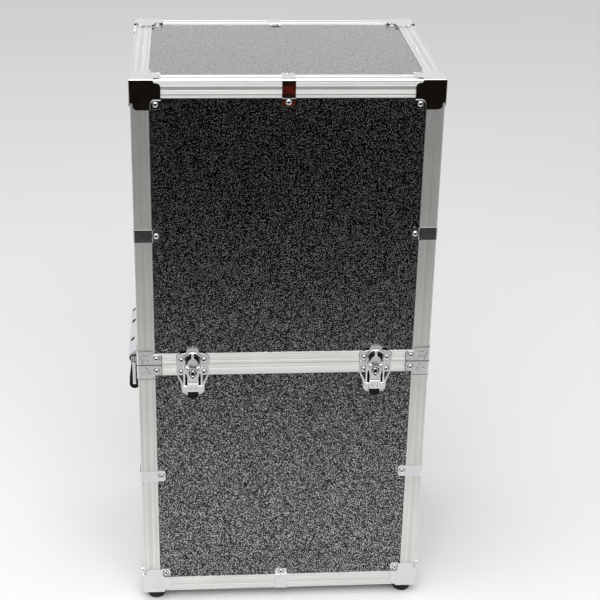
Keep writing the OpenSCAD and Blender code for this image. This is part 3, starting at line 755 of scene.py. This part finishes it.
def bracket_marks(upper):
    """Pressed figures: a stepped panel above the joint, a slanted loop below, and dark strips of painted
    shade along their lines.
    """
    if upper:
        figure = [(8.5, -1.6), (20.5, -1.6), (19.5, -10.2), (11.5, -10.2)]
        thin = [[(5, -18), (9, -3)], [(8.5, -1.8), (11.5, -10.4), (19.5, -10.4), (20.5, -1.8)],
                [(10, -20), (14, -18.2), (18, -19.6)]]
    else:
        c, w = cos(radians(-24)), sin(radians(-24))
        loop = arc(4, 0, 2.6, -90, 90, 8) + arc(-4, 0, 2.6, 90, 270, 8)
        figure = [(14 + x * c - y * w, -17 + x * w + y * c) for x, y in loop]
        thin = [figure + figure[:1], [(14, -4), (24, -17.5)], [(5.2, -22.5), (6, -23.2)]]
    thick = [[(28.6, -25.5), (26.6, -27.4), (1, -27.4)],
             [(39.4, -18.6), (42.2, -18), (43.4, -15.6), (43.4, -3.4), (42.2, -1), (39.6, 0)]]
    thin_last = [[(39.6, -0.1), (0.6, -0.1)]]
    lines = Shape()
    for paths, width in ((thin, 0.8), (thick, 1), (thin_last, 0.8)):
        for path in paths:
            lines.merge(line_shape(path, width, -STRAP - 0.06, -STRAP + 0.5))
    raised = rounded(prism(figure, -STRAP - 0.45, -STRAP + 0.4), 0.4)
    return [Shape().merge(s, SWAP_YZ).merge(s, CYCLE) for s in (raised, lines)]


def rim_brackets():
    bracket = bracket_shape()
    for body, half in HALVES.items():
        marks, lines = bracket_marks(body == "lid")
        place = (-W / 2, -D / 2, HALF_H[body])
        s = Shape().at_corners(Shape().merge(bracket).merge(marks), half, *place)
        # painted shade along the pressed lines
        piece(body + "_bracket_lines", Shape().at_corners(lines, half, *place), LINE, body)
        piece(body + "_rim_brackets_fine", s, BRACKET, body, smooth=40)


# ---------- feet ----------

def feet():
    h = FOOT_H
    foot = lathe([(0, CORNER_T + 0.05), (16.6, CORNER_T + 0.05), (17.2, CORNER_T + 0.6), (17.2, h - 7.5),
                          (17.1, h - 5.4), (16.8, h - 3.6), (16.3, h - 2.2), (15.5, h - 0.9), (14.6, h - 0.2),
                          (13.8, h), (8, h), (7.5, h - 0.4), (7.5, 7.1), (0, 7.1)], 48)
    s = Shape()
    for q in QUAD:
        s.merge(foot, BASE @ q @ move(W / 2 - FOOT_AT, D / 2 - FOOT_AT, 0) @ turn(180, "X"))
    piece("feet_fine", s, RUBBER, "base", "foot_rubber", smooth=50)


# ---------- latches ----------

def latch_at(a):
    return JOINT @ FRONT @ move(a * LATCH_X, 0, 0)


def both(shape, at):
    """The shape at the left and at the right place."""
    return Shape().merge(shape, at(-1)).merge(shape, at(1))


def keeper_shape():
    w = PLATE_W / 2
    crown = []
    for i in range(15):
        x = (w - 5) * (1 - 2 * i / 14)
        crown.append((x, 20.8 + 3.8 * cos(x / (w - 5) * pi / 2) ** 0.8))
    arch = symmetric([(w, HALF_GAP), (w, 16), (w - 0.8, 18.2), (w - 2.6, 19.9)], crown)
    s = rounded(prism(arch, 0.02, 2), 0.7, 3)
    # stepped lip under the screws
    for a in (-1, 1):
        s.soft(box((a * 21.4 - 5.2, 5.9, 1.8), (a * 21.4 + 5.2, 7, 3.4)), 0.5)
        s.soft(box((a * 20.6 - 7.2, 0.5, 1.8), (a * 20.6 + 7.2, 3.4, 2.9)), 0.5)
    # boss that the bail closes round
    boss = symmetric([(10, 0.6)], half_oval(1.2, 10, 9.4, 20))
    s.soft(prism(boss, 1.9, 4.6), 0.9, 3)
    # hook tongue above the plate, two rolled lips
    s.soft(box((-9.2, 23, -1.98), (9.2, 32.4, 0.9)), 0.8, 3)
    s.soft(box((-11.2, 25.2, -1.9), (11.2, 28.6, 2.8)), 0.6)
    s.soft(box((-9, 29.6, -1.9), (9, 33, 3.5)), 0.6)
    return s


def latch_plate_outline():
    """The base plate from the joint down: how far in from the half width, and the height."""
    flank = [(0, -HALF_GAP), (0, -19.5), (0.9, -22), (3.2, -27.5), (5.6, -33), (7.2, -38.5), (8.1, -44),
             (8.5, -50), (8.5, -53.6), (9.6, -55.6)]
    return symmetric([(PLATE_W / 2 - d, y) for d, y in flank] + [(13.6, -59.6), (11.8, -60)])


def latch_plate_shape():
    out = latch_plate_outline()
    s = rounded(prism(out, 0.02, 2), 0.8, 3)
    # packing between the plate and the panel, below the rim
    under = -RIM_H - HALF_GAP - 0.1
    edge = (PLATE_W / 2 - 0.9) * 0.985
    low = [(x * 0.985, max(y, -59.4)) for x, y in out if y < under]
    s.merge(prism(symmetric([(edge, under)], low), -1.98, 1))
    # raised rim round the tapered part
    ring = [p for p in out if p[1] < -22]
    inner = [(x * 0.9, y + 1.9 if y < -50 else y) for x, y in ring]
    s.soft(prism(ring + inner[::-1], 1.9, 2.5), 0.25)
    for a in (-1, 1):
        s.soft(box((a * 20.6 - 7.2, -2.6, 1.8), (a * 20.6 + 7.2, -0.6, 2.4)), 0.3)
        # shoulder that slopes outward as it goes down
        wedge = [[(17.6, -20.6, z), (26.4, -20.6, z), (17.6, -36.5, low)]
                 for z, low in ((1.9, 1.9), (2, 4.4))]
        s.loft(wedge, MIRROR_X if a < 0 else IDENTITY)
        # ear that holds the lever's pin
        ear = [(PIN_Z - 2.6, 1), (PIN_Z - 2.6, PIN_P)] + arc(PIN_Z, PIN_P, 2.6, 180, 0, 10)
        s.merge(prism(ear + [(PIN_Z + 2.6, 1)], a * 8.1 - 0.5, a * 8.1 + 0.5, CYCLE))
    return s


def lever_shape():
    side = [(PIN_Z + 2, PIN_P + 3.35), (PIN_Z + 3, PIN_P + 2.3), (PIN_Z + 3.55, PIN_P + 1)]
    side += arc(PIN_Z, PIN_P, 3.6, 0, -90, 6)
    outline = [(-52, 6.4), (-52, 8), (-51.4, 8.2), (-38.2, 8.3), (-36, 8.5), (-33, 9.5), (-31.8, 9.6),
               (PIN_Z - 0.2, 9.6)] + side + [(-44, 3), (-51, 3.4)]
    body = prism(outline, -11.3, 11.3, CYCLE)
    # narrower below the shoulders, then hollow behind, with slots for the ears
    for a in (-1, 1):
        waist = [(a * 9.9, -70), (a * 9.9, -22), (a * 11.2, -19), (a * 14, -19), (a * 14, -70)]
        body = cut(body, prism(waist, -5, 20))
    body = rounded(body, 1.1, 3, 50)
    hollow = [(0.5, -3), (0.5, 7.6), (-32, 7.6), (-36, 6.6), (-60, 6.4), (-60, -3)]
    body = cut(body, prism(hollow, -8.6, 8.6, CYCLE))
    slots = Shape()
    for a in (-1, 1):
        slots.box((a * 8.1 - 0.9, PIN_Z - 3.4, 0), (a * 8.1 + 0.9, 6, 12))
    body = cut(body, slots)
    # bore of the lock, and the two dimples of the thumb tab's rivets
    body = cut(body, rod(4.05, 6, 12, 32, move(0, LOCK_Z, 0)))
    for a in (-1, 1):
        body = cut(body, rod(0.9, 7.9, 12, 16, move(a * 4.6, -45.6, 0)))
    # cross lines where the face is folded
    for z in (-31.4, -7.4):
        body = cut(body, box((-12, z - 0.35, 9.25), (12, z + 0.35, 12)))
    collar = [(4.1, 9.2), (5.3, 9.2), (5.3, 9.8), (5, 10.1), (4.5, 10.1), (4.1, 9.8), (4.1, 9.2)]
    return body.lathe(collar, 36, move(0, LOCK_Z, 0))


def bail_paths():
    """Outer and inner edges of the bail, from the right eye over the crown to the left one."""
    n = 26
    return (symmetric([(17.2, BAIL_Z), (17.2, -24), (17, -8)], arc(0, 9, 16.6, 0, 180, n)),
            symmetric([(13.8, BAIL_Z), (13.8, -24), (13.4, -8)], half_oval(1, 10.4, 11.8, n)))


def crown_slope(t):
    """Rise of the crown from its outer edge (0) to its inner edge (1), where it turns down."""
    return 2.2 * t - 0.7 * max(t - 0.92, 0) / 0.08


def bail_shape():
    """Arched bail with a conical crown and round-backed arms."""
    steps = (0, 0.03, 0.08, 0.2, 0.35, 0.5, 0.65, 0.8, 0.92, 0.97, 1)
    rings = []
    for (x0, y0), (x1, y1) in zip(*bail_paths()):
        up = min(max((y0 + 4) / 8, 0), 1)
        ring = []
        for t in steps:
            arm = 5 + 2.45 * sin(pi * t) ** 0.55
            crown = 4.9 + 0.5 * min(t / 0.08, 1) + crown_slope(t)
            ring.append((x0 + (x1 - x0) * t, y0 + (y1 - y0) * t, arm + (crown - arm) * up))
        rings.append(ring + [(x1, y1, 4.75), (x0, y0, 4.75)])
    s = Shape().loft(rings)
    eye = [(1.45, -2.05), (2, -2.05), (2.4, -1.7), (2.4, 1.7), (2, 2.05), (1.45, 2.05), (1.45, -2.05)]
    for a in (-1, 1):
        s.lathe(eye, 28, move(a * 14.5, BAIL_Z, PIN_P) @ turn(90, "Y"))
    # rib pressed up the middle of the crown
    return s.soft(box((-2.4, 12.2, 5), (2.4, 25, 8.1)), 1, 3)


def bail_hollow():
    """Painted shade: a dark crescent sheet set in the crown, from the middle to the thin ends."""
    outer, inner = (path[3:-3] for path in bail_paths())
    end = 0.985
    rings = []
    for q, ((x0, y0), (x1, y1)) in enumerate(zip(outer, inner)):
        far = abs(2 * q / (len(outer) - 1) - 1)
        start = 0.34 + 0.4 * far ** 3
        across = [start + (end - start) * i / 6 for i in range(7)]
        skin = [(t, 0.1) for t in across] + [(t, -0.4) for t in across[::-1]]
        rings.append([(x0 + (x1 - x0) * t, y0 + (y1 - y0) * t, 5.4 + crown_slope(t) + lift)
                      for t, lift in skin])
    return Shape().loft(rings)


def gap_shade_shape():
    """Painted shade: dark strips in the gaps beside the lever."""
    s = Shape()
    for a in (-1, 1):
        x0, x1 = sorted((a * 9.9, a * 14))
        s.soft(box((x0, -43.5, 1.9), (x1, -18.5, 2.15)), 0.1, 1)
    return s


def outline_shadow_shape(outline, grow, side):
    """Painted shadow: a thin dark sheet that shows as a line round a plate, kept on its side of the joint."""
    n = len(outline)
    cx, cy = (sum(p[i] for p in outline) / n for i in (0, 1))
    out = []
    for i, (x, y) in enumerate(outline):
        (ax, ay), (bx, by) = outline[i - 1], outline[(i + 1) % n]
        d = hypot(bx - ax, by - ay) or 1
        nx, ny = (by - ay) / d, (ax - bx) / d
        if nx * (x - cx) + ny * (y - cy) < 0:
            nx, ny = -nx, -ny
        out.append((x + nx * grow, side * max(side * (y + ny * grow), 0.2)))
    return prism(out, 0.03, 0.5)


def shield(k):
    """Outline round the lock: arched above, pointed below."""
    low = [(-6.2 * k, -17), (0, -15.2 - 9.2 * k), (6.2 * k, -17)]
    return half_oval(-13.2, 6.9 * k, 5.6 * k, 14) + low


def lever_dark_marks():
    """Dark marks of the lever: a dark line round the lock, and painted shade at the fold, in the dimples and
    on the top edge.
    """
    outer, inner = shield(1.06), shield(0.74)
    s = Shape()
    n = len(outer)
    for i in range(n):
        if i not in (6, 7):  # open at the top
            j = (i + 1) % n
            s.prism([outer[i], outer[j], inner[j], inner[i]], 9.3, 9.75)
    # painted shade in the fold line
    s.box((-8.6, -33, 9), (8.6, -32.1, 9.72))
    # painted shade: skin on the rolled top edge, inside the lever's own swing
    skin = [(2.1, 2.9), (2.3, 3.15), (3.1, 2.38), (3.72, 1.1), (3.3, 0.9), (2.8, 2.1)]
    s.prism([(PIN_Z + v, PIN_P + w) for v, w in skin], -7, 7, CYCLE)
    # painted shade in the two dimples
    for a in (-1, 1):
        s.lathe([(0, 7.7), (0.95, 7.7), (0.95, 8.36), (0.5, 8.2), (0, 8.15)], 16, move(a * 4.6, -45.6, 0))
    return s


def tab_shape():
    """Black thumb tab with a rolled lip and two ribs."""
    out = symmetric([(9.6, -45), (9.9, THUMB_Z)], arc(0, THUMB_Z, 9.9, 0, -180, 20))
    s = rounded(prism(out, 3.4, 6.3), 0.9, 3)
    lip = arc(0, THUMB_Z, 9.85, 0, -180, 20) + arc(0, THUMB_Z, 7.4, 0, -180, 20)[::-1]
    s.soft(prism(lip, 2.9, 6.9), 0.7, 3)
    for k in (-60, -62.4):
        s.soft(box((-4.5, k - 0.5, 6.1), (4.5, k + 0.5, 6.8)), 0.3)
    return s


def plug_shape():
    s = lathe([(0, 4.6), (3.95, 4.6), (3.95, 9.9), (3.6, 10.3), (0, 10.35)], 32)
    s = cut(s, box((-0.65, -2.7, 8.6), (0.65, 1.9, 12)))
    s = cut(s, rod(1.35, 8.6, 12, 16, move(0, 1.2, 0)))
    return Shape().merge(s, move(0, LOCK_Z, 0))


# painted shade: a black disc and bar that fill the lock's keyway
def keyhole_shade_shape():
    s = lathe([(0, 8.7), (2.5, 8.7), (2.5, 10.45), (2, 10.5), (1, 9.9), (0, 9.8)], 20,
                      move(0, -14, 0))
    return s.soft(box((-1.3, -18.6, 8.7), (1.3, -14.4, 10.45)), 0.3, 1)


def latch_screws(label, v, body):
    s, dark = Shape(), Shape()
    head, recess = screw_shape(4.95), recess_shade_shape(4.95)
    for a in (-1, 1):
        for b in (-1, 1):
            m = JOINT @ FRONT @ move(a * LATCH_X + b * 20.7, v, 2) @ turn(20 + 30 * b, "Z")
            s.merge(head, m)
            dark.merge(recess, m)
    piece(label + "_fine", s, FASTENER, body, "fastener")
    # painted shade in the cross recesses and round the heads
    piece(label + "_recesses", dark, BLACK, body, "fastener")


def moving_parts():
    """The levers, bails, thumb tabs and locks of both latches."""
    # name, shape, material, the body that it rides on, slot, smooth angle
    parts = (("lever_fine", lever_shape(), CHROME_LATCH, "lever", "chrome", 35),
             ("bail_fine", bail_shape(), CHROME_LATCH, "bail", "chrome", 40),
             ("thumb_tab_fine", tab_shape(), TAB, "lever", "black_plastic", 40),
             ("lock_plug_fine", plug_shape(), PIVOT, "lock_plug", "chrome", 35),
             # dark line round the lock, and painted shade at the fold, dimples and top edge
             ("lever_inlay", lever_dark_marks(), BLACK, "lever", "chrome", 30),
             # painted shade on the bail's crown, in the dark pivot steel
             ("bail_hollow", bail_hollow(), PIVOT, "bail", "chrome", 40),
             # painted shade in the keyway
             ("keyhole", keyhole_shade_shape(), BLACK, "lock_plug", "chrome", 30))
    for side, a in (("left_", -1), ("right_", 1)):
        for name, shape, mat, body, slot, smooth in parts:
            piece(side + name, Shape().merge(shape, latch_at(a)), mat, side + body, slot, smooth)


def keeper_shadow():
    """Dark crescent round the boss, gaps under the lips and the line round the keeper's plate."""
    ring = arc(0, 1.2, 13.6, 0, 180, 20) + arc(0, 1.2, 9, 180, 0, 20)
    s = prism(ring, 1.9, 2.3)
    for a in (-1, 1):
        x0, x1 = sorted((a * 16, a * 26.6))
        s.box((x0, 4.3, 1.9), (x1, 5.6, 2.2))
    flank = [(0, HALF_GAP), (0, 16), (2.6, 19.9), (9, 22.6), (16, 24.2)]
    top = symmetric([(PLATE_W / 2 - d, y) for d, y in flank], [(0, 24.8)])
    return s.merge(outline_shadow_shape(top, 0.9, 1))


def latches():
    piece("latch_keepers_fine", both(keeper_shape(), latch_at), PLATE, "lid", smooth=40)
    piece("latch_plates_fine", both(latch_plate_shape(), latch_at), CHROME_LATCH, "base", smooth=40)
    latch_screws("keeper_screws", 9.4, "lid")
    latch_screws("latch_plate_screws", -14.5, "base")
    moving_parts()
    # painted shade in the gaps beside the levers
    piece("latch_plate_slots", both(gap_shade_shape(), latch_at), BLACK, "base")
    piece("latch_keeper_shadow_gap", both(keeper_shadow(), latch_at), BLACK, "lid")
    # painted shadow as a line round the top of the latch plates
    upper = [p for p in latch_plate_outline() if p[1] > -21]
    piece("latch_plate_gasket", both(outline_shadow_shape(upper, 0.8, -1), latch_at), BLACK, "base")


# ---------- side handles ----------

def handle_at(a):
    """+x outward from the panel face, z = 0 at the pivots."""
    return BASE @ move(a * (W / 2 - EDGE_T), 0, PIVOT_Z) @ (MIRROR_X if a < 0 else IDENTITY)


def housing_shape():
    g = GRIP_HALF
    nose = symmetric([(12.5, 0.02), (12.5, 9.5), (11.6, 12.5), (4.6, 20.6), (1.8, 22.3)])
    body = prism([(x, z) for z, x in nose], -g, g, SWAP_YZ)
    for a in (-1, 1):
        corner = [(15.5 + 8 * cos(t), a * (g - 7 + 7.2 * sin(t)))
                  for t in (pi / 2 * i / 10 for i in range(11))]
        corner += [(15.5, a * (g + 5)), (30, a * (g + 5)), (30, a * (g - 7))]
        body = cut(body, prism(corner, -20, 20))
    body = rounded(body, 2, 3, 32)
    oval = Matrix.Diagonal((1, 1.35, 0.8, 1))
    for y in HOUSING_SCREW_Y:
        for z in (-8, 8):
            body = cut(body, rod(4.2, 2.5, 40, 24, move(0, y, z) @ oval @ turn(90, "Y")))
    return body


def housing_screws():
    """Heads that fill the oval recesses and follow the slope of the housing."""
    rings = []
    for r, sink in ((0.9, 1.4), (2.4, 1.2), (3.3, 0.25), (4.17, 0.1), (4.17, None)):
        ring = []
        for across, up in circle(24):
            z = 8 + 0.8 * r * up
            slope = 12.5 + (11.6 - z) * 8.1 / 7
            ring.append((2.6 if sink is None else slope - sink, 1.35 * r * across, z))
        rings.append(ring)
    head = Shape().loft(rings)
    s = Shape()
    for y in HOUSING_SCREW_Y:
        for m in (MIRROR_Z, IDENTITY):
            s.merge(head, move(0, y, 0) @ m)
    return s


def pivot_head(teeth=44):
    """Domed head with a knurled edge."""
    rings = []
    for r, z in ((6.6, 20), (8.1, 20.4), (8.4, 20.8), (8.4, 22.9), (8.1, 23.4), (7.4, 23.9), (6.4, 24.2)):
        tooth, gap = (0.28, -0.12) if 20.3 < z < 23.5 else (0, 0)
        ring = []
        for i, (x, y) in enumerate(circle(teeth)):
            k = r + (tooth if i % 2 else gap)
            ring.append((k * x, k * y, z))
        rings.append(ring)
    return Shape().loft(rings)


def pivot_shapes():
    """The pivots with their heads, and the bars that cross on each head."""
    s, bars = Shape(), Shape()
    head = pivot_head()
    for a in (-1, 1):
        m = move(PIVOT_P, a * (GRIP_HALF - 14), 0) @ turn(-a * 90, "X")
        s.merge(rod(3.98, 13.9, 20.1, 24), m)
        s.merge(head, m)
        for k in (-3.6, 0, 3.6):
            e = sqrt(6.2 ** 2 - k * k)
            bars.merge(rounded(box((k - 0.75, -e, 23.9), (k + 0.75, e, 24.9)), 0.3), m)
            bars.merge(rounded(box((-e, k - 0.6, 23.9), (e, k + 0.6, 24.7)), 0.3), m)
    return s, bars


def handle_bail_shape():
    y1 = GRIP_HALF + 0.5
    eye = [(4.06, 0.3), (6.4, 0.3), (7, 0.9), (7, 4.1), (6.4, 4.7), (4.06, 4.7), (4.06, 0.3)]
    # flat bar down, round the bend, along the bottom
    outer = [(y1 + 5, -5.2), (y1 + 5, -GRIP_DROP + 8)]
    outer += arc(y1 - 5.5, -GRIP_DROP + 8, 10.5, 0, -90, 8)[1:] + [(0, -GRIP_DROP - 2.5)]
    inner = [(y1, -5.2), (y1, -GRIP_DROP + 8)] + arc(y1 - 5.5, -GRIP_DROP + 8, 5.5, 0, -90, 8)[1:]
    inner += [(0, -GRIP_DROP + 2.5)]
    bar = rounded(prism(outer + inner[::-1], PIVOT_P - 3.3, PIVOT_P + 3.3, CYCLE), 1.1, 3, 50)
    s = Shape()
    for m in (IDENTITY, MIRROR_Y):
        s.lathe(eye, 32, m @ move(PIVOT_P, y1, 0) @ turn(-90, "X"))
        s.merge(bar, m)
    return s


def grip_shape():
    """Moulded grip with finger waves, end collars and drop-shaped cheeks."""
    g = GRIP_HALF - 8
    collar = [(0, -g), (7.4, -g), (8.5, -g + 0.9), (8.6, -g + 3.4), (8, -g + 4.4)]
    profile = list(collar)
    for i in range(73):
        z = (-g + 5.5) + (2 * g - 11) * i / 72
        wave = 0.5 + 0.5 * cos(z / (g - 5.5) * pi * 4)
        profile.append((7.75 + 0.75 * wave, z))
    profile += [(r, -z) for r, z in collar[::-1]]
    s = lathe(profile, 32, move(PIVOT_P, 0, -GRIP_DROP) @ turn(-90, "X"))
    drop = symmetric([(-4.6, -9), (-6.4, -22), (-9, -42)], arc(0, -GRIP_DROP + 4.2, 9.7, 176, 364, 18))
    for a in (1, -1):
        y0, y1 = sorted((a * (GRIP_HALF + 1.2), a * (GRIP_HALF + 4.6)))
        s.soft(prism([(PIVOT_P + x, z) for x, z in drop], y0, y1, SWAP_YZ), 0.9)
    return s


def handles():
    pivots, bars = pivot_shapes()
    piece("handle_pivot_bars", both(bars, handle_at), FASTENER, "base", "pivot_steel")
    piece("handle_housings_fine", both(housing_shape(), handle_at), HOUSING, "base", "housing", smooth=35)
    piece("handle_screws_fine", both(housing_screws(), handle_at), BLACK, "base", "fastener")
    piece("handle_pivots_fine", both(pivots, handle_at), PIVOT, "base", "pivot_steel")
    bail, grip = handle_bail_shape(), grip_shape()
    for side, a in (("left", -1), ("right", 1)):
        body = side + "_handle"
        piece(body + "_bail_fine", Shape().merge(bail, handle_at(a)), BRACKET, body, smooth=40)
        piece(body + "_grip_fine", Shape().merge(grip, handle_at(a)), GRIP, body, "grip_rubber", smooth=50)


for make in (screws, rivets, corners, clips, rim_brackets, feet, latches, handles):
    make()


# ---------- finishes on the CAD nodes that stay ----------

FINISHES = (("_panel", LAMINATE), ("long_edges", ALU_X), ("long_rims", RIM_X), ("side_edges", ALU_Y),
            ("side_rims", RIM_Y), ("uprights", ALU_Z), ("rack_rails", RAIL), ("bail_pin", CHROME_LATCH),
            ("leaves", CHROME_LATCH), ("hinge_pins", CHROME_LATCH))


def paint(node):
    """The finish that the end of the node's name asks for; small fasteners are the rest."""
    found = [mat for ending, mat in FINISHES if node.endswith(ending)]
    NODES[node].data.materials.clear()
    NODES[node].data.materials.append(found[0] if found else FASTENER)


for shown in [n for n in NODES if not NODES[n].hide_render]:
    paint(shown)


# ---------- floor, light and camera, metres ----------

BACK_GLOW, WORLD, KEY, FILL = 0.93, 0.67, 50, 62
NIGHT = (0.009, 0.007, 0.005)
RED = (0.15, 0.016, 0.01)
WALL_Y = -3.4


def flat(name, mat, x, y, z, hidden=True):
    """A staged sheet between two x, y and z; a hidden one shows in reflections only."""
    verts = [(x[0], y[0], z[0]), (x[1], y[0], z[0]), (x[1], y[1], z[1]), (x[0], y[1], z[1])]
    me = bpy.data.meshes.new(name)
    me.from_pydata(verts, [], [(0, 1, 2, 3)])
    me.materials.append(mat)
    o = linked(name, me)
    if hidden:
        o.visible_camera = False
        o.visible_diffuse = False
        o.visible_shadow = False
        o.visible_transmission = False


def pale_floor():
    s = Shader("studio_floor", (0.84, 0.84, 0.84), roughness=0.7)
    s.set(Base_Color=s.ramp(s.noise(0.8, 2), [(0, 0.82), (1, 0.86)]))
    flat("floor", s.mat, (-14, 14), (-14, 14), (0, 0), hidden=False)


def dark_floor():
    """Dark floor in front of the case that fades in from its near edge."""
    s = Shader("dark_room", NIGHT, roughness=1, ior=1)
    clear = s.node("BsdfTransparent").outputs[0]
    y = s.node("SeparateXYZ", Vector=s.coord).outputs["Y"]
    near = s.ramp(s.remap(y, 1, 0, -2.4, -0.42), [(0, 0), (0.64, 0.9), (1, 1)])
    fade = s.node("MixShader")
    for socket, value in zip(fade.inputs, (near, clear, s.bsdf.outputs[0])):
        s.put(socket, value)
    s.put(s.t.nodes["Material Output"].inputs["Surface"], fade.outputs[0])
    flat("dark_floor_card", s.mat, (-6, 6), (-9, -0.5), (0.004, 0.004))


def dark_wall():
    """Dark wall before the case, with the red patch that the top clip reflects."""
    s = Shader("dark_wall", NIGHT, roughness=1, ior=1)
    far = s.vector("DISTANCE", s.coord, (0.24, WALL_Y, 0.02))
    s.set(Base_Color=s.ramp(far, [(0.06, RED), (0.14, NIGHT)]))
    flat("dark_wall_card", s.mat, (-0.75, 0.93), (WALL_Y, WALL_Y), (0, 3.9))


def back_reflector():
    s = Shader("back_reflector", (0, 0, 0), roughness=1, ior=1)
    s.set(Emission_Color=(1, 1, 1, 1), Emission_Strength=BACK_GLOW)
    flat("back_reflector", s.mat, (-4, 4), (5, 5), (0.9, 4.2))


def white_world():
    world = bpy.data.worlds.new("studio")
    bpy.context.scene.world = world
    world.use_nodes = True
    sky = world.node_tree.nodes["Background"].inputs
    sky["Color"].default_value = (1, 1, 1, 1)
    sky["Strength"].default_value = WORLD


def area_light(name, loc, target, size, power, gloss=1):
    d = bpy.data.lights.new(name, "AREA")
    d.shape = "RECTANGLE"
    d.size, d.size_y = size
    d.energy = power
    d.specular_factor = gloss
    o = linked(name, d)
    o.location = loc
    o.rotation_euler = (Vector(target) - Vector(loc)).to_track_quat("-Z", "Y").to_euler()


def camera():
    """Placed from the photo: turned by az, looking down by el, tilted by roll."""
    data = bpy.data.cameras.new("camera")
    cam = linked("camera", data)
    bpy.context.scene.camera = cam
    data.sensor_width = 36
    data.lens = 86.08
    data.clip_start, data.clip_end = 0.1, 60
    az, el, roll = (radians(x) for x in (4.8582, 24.5472, 1.2472))
    forward = Vector((sin(az) * cos(el), cos(az) * cos(el), -sin(el)))
    right = Vector((cos(az), -sin(az), 0))
    up = right.cross(forward)
    right, up = right * cos(roll) + up * sin(roll), up * cos(roll) - right * sin(roll)
    # the eye in case widths, from the foot of the front face
    eye = Vector((-0.32247, -4.37010, 3.17100)) * W * MM + Vector((0, SHIFT_Y - D / 2, FOOT_H)) * MM
    cam.matrix_world = Matrix([(right[i], up[i], -forward[i], eye[i]) for i in range(3)] + [(0, 0, 0, 1)])


for make in (pale_floor, dark_floor, dark_wall, back_reflector, white_world, camera):
    make()
area_light("overhead", (-0.9, -0.9, 3.6), (0, -0.2, 0), (3.2, 3.2), KEY)
area_light("front_fill", (0.2, -2.6, 3), (0, -0.7, 0), (3, 1.6), FILL, gloss=0)
bpy.context.scene.view_settings.view_transform = "Standard"
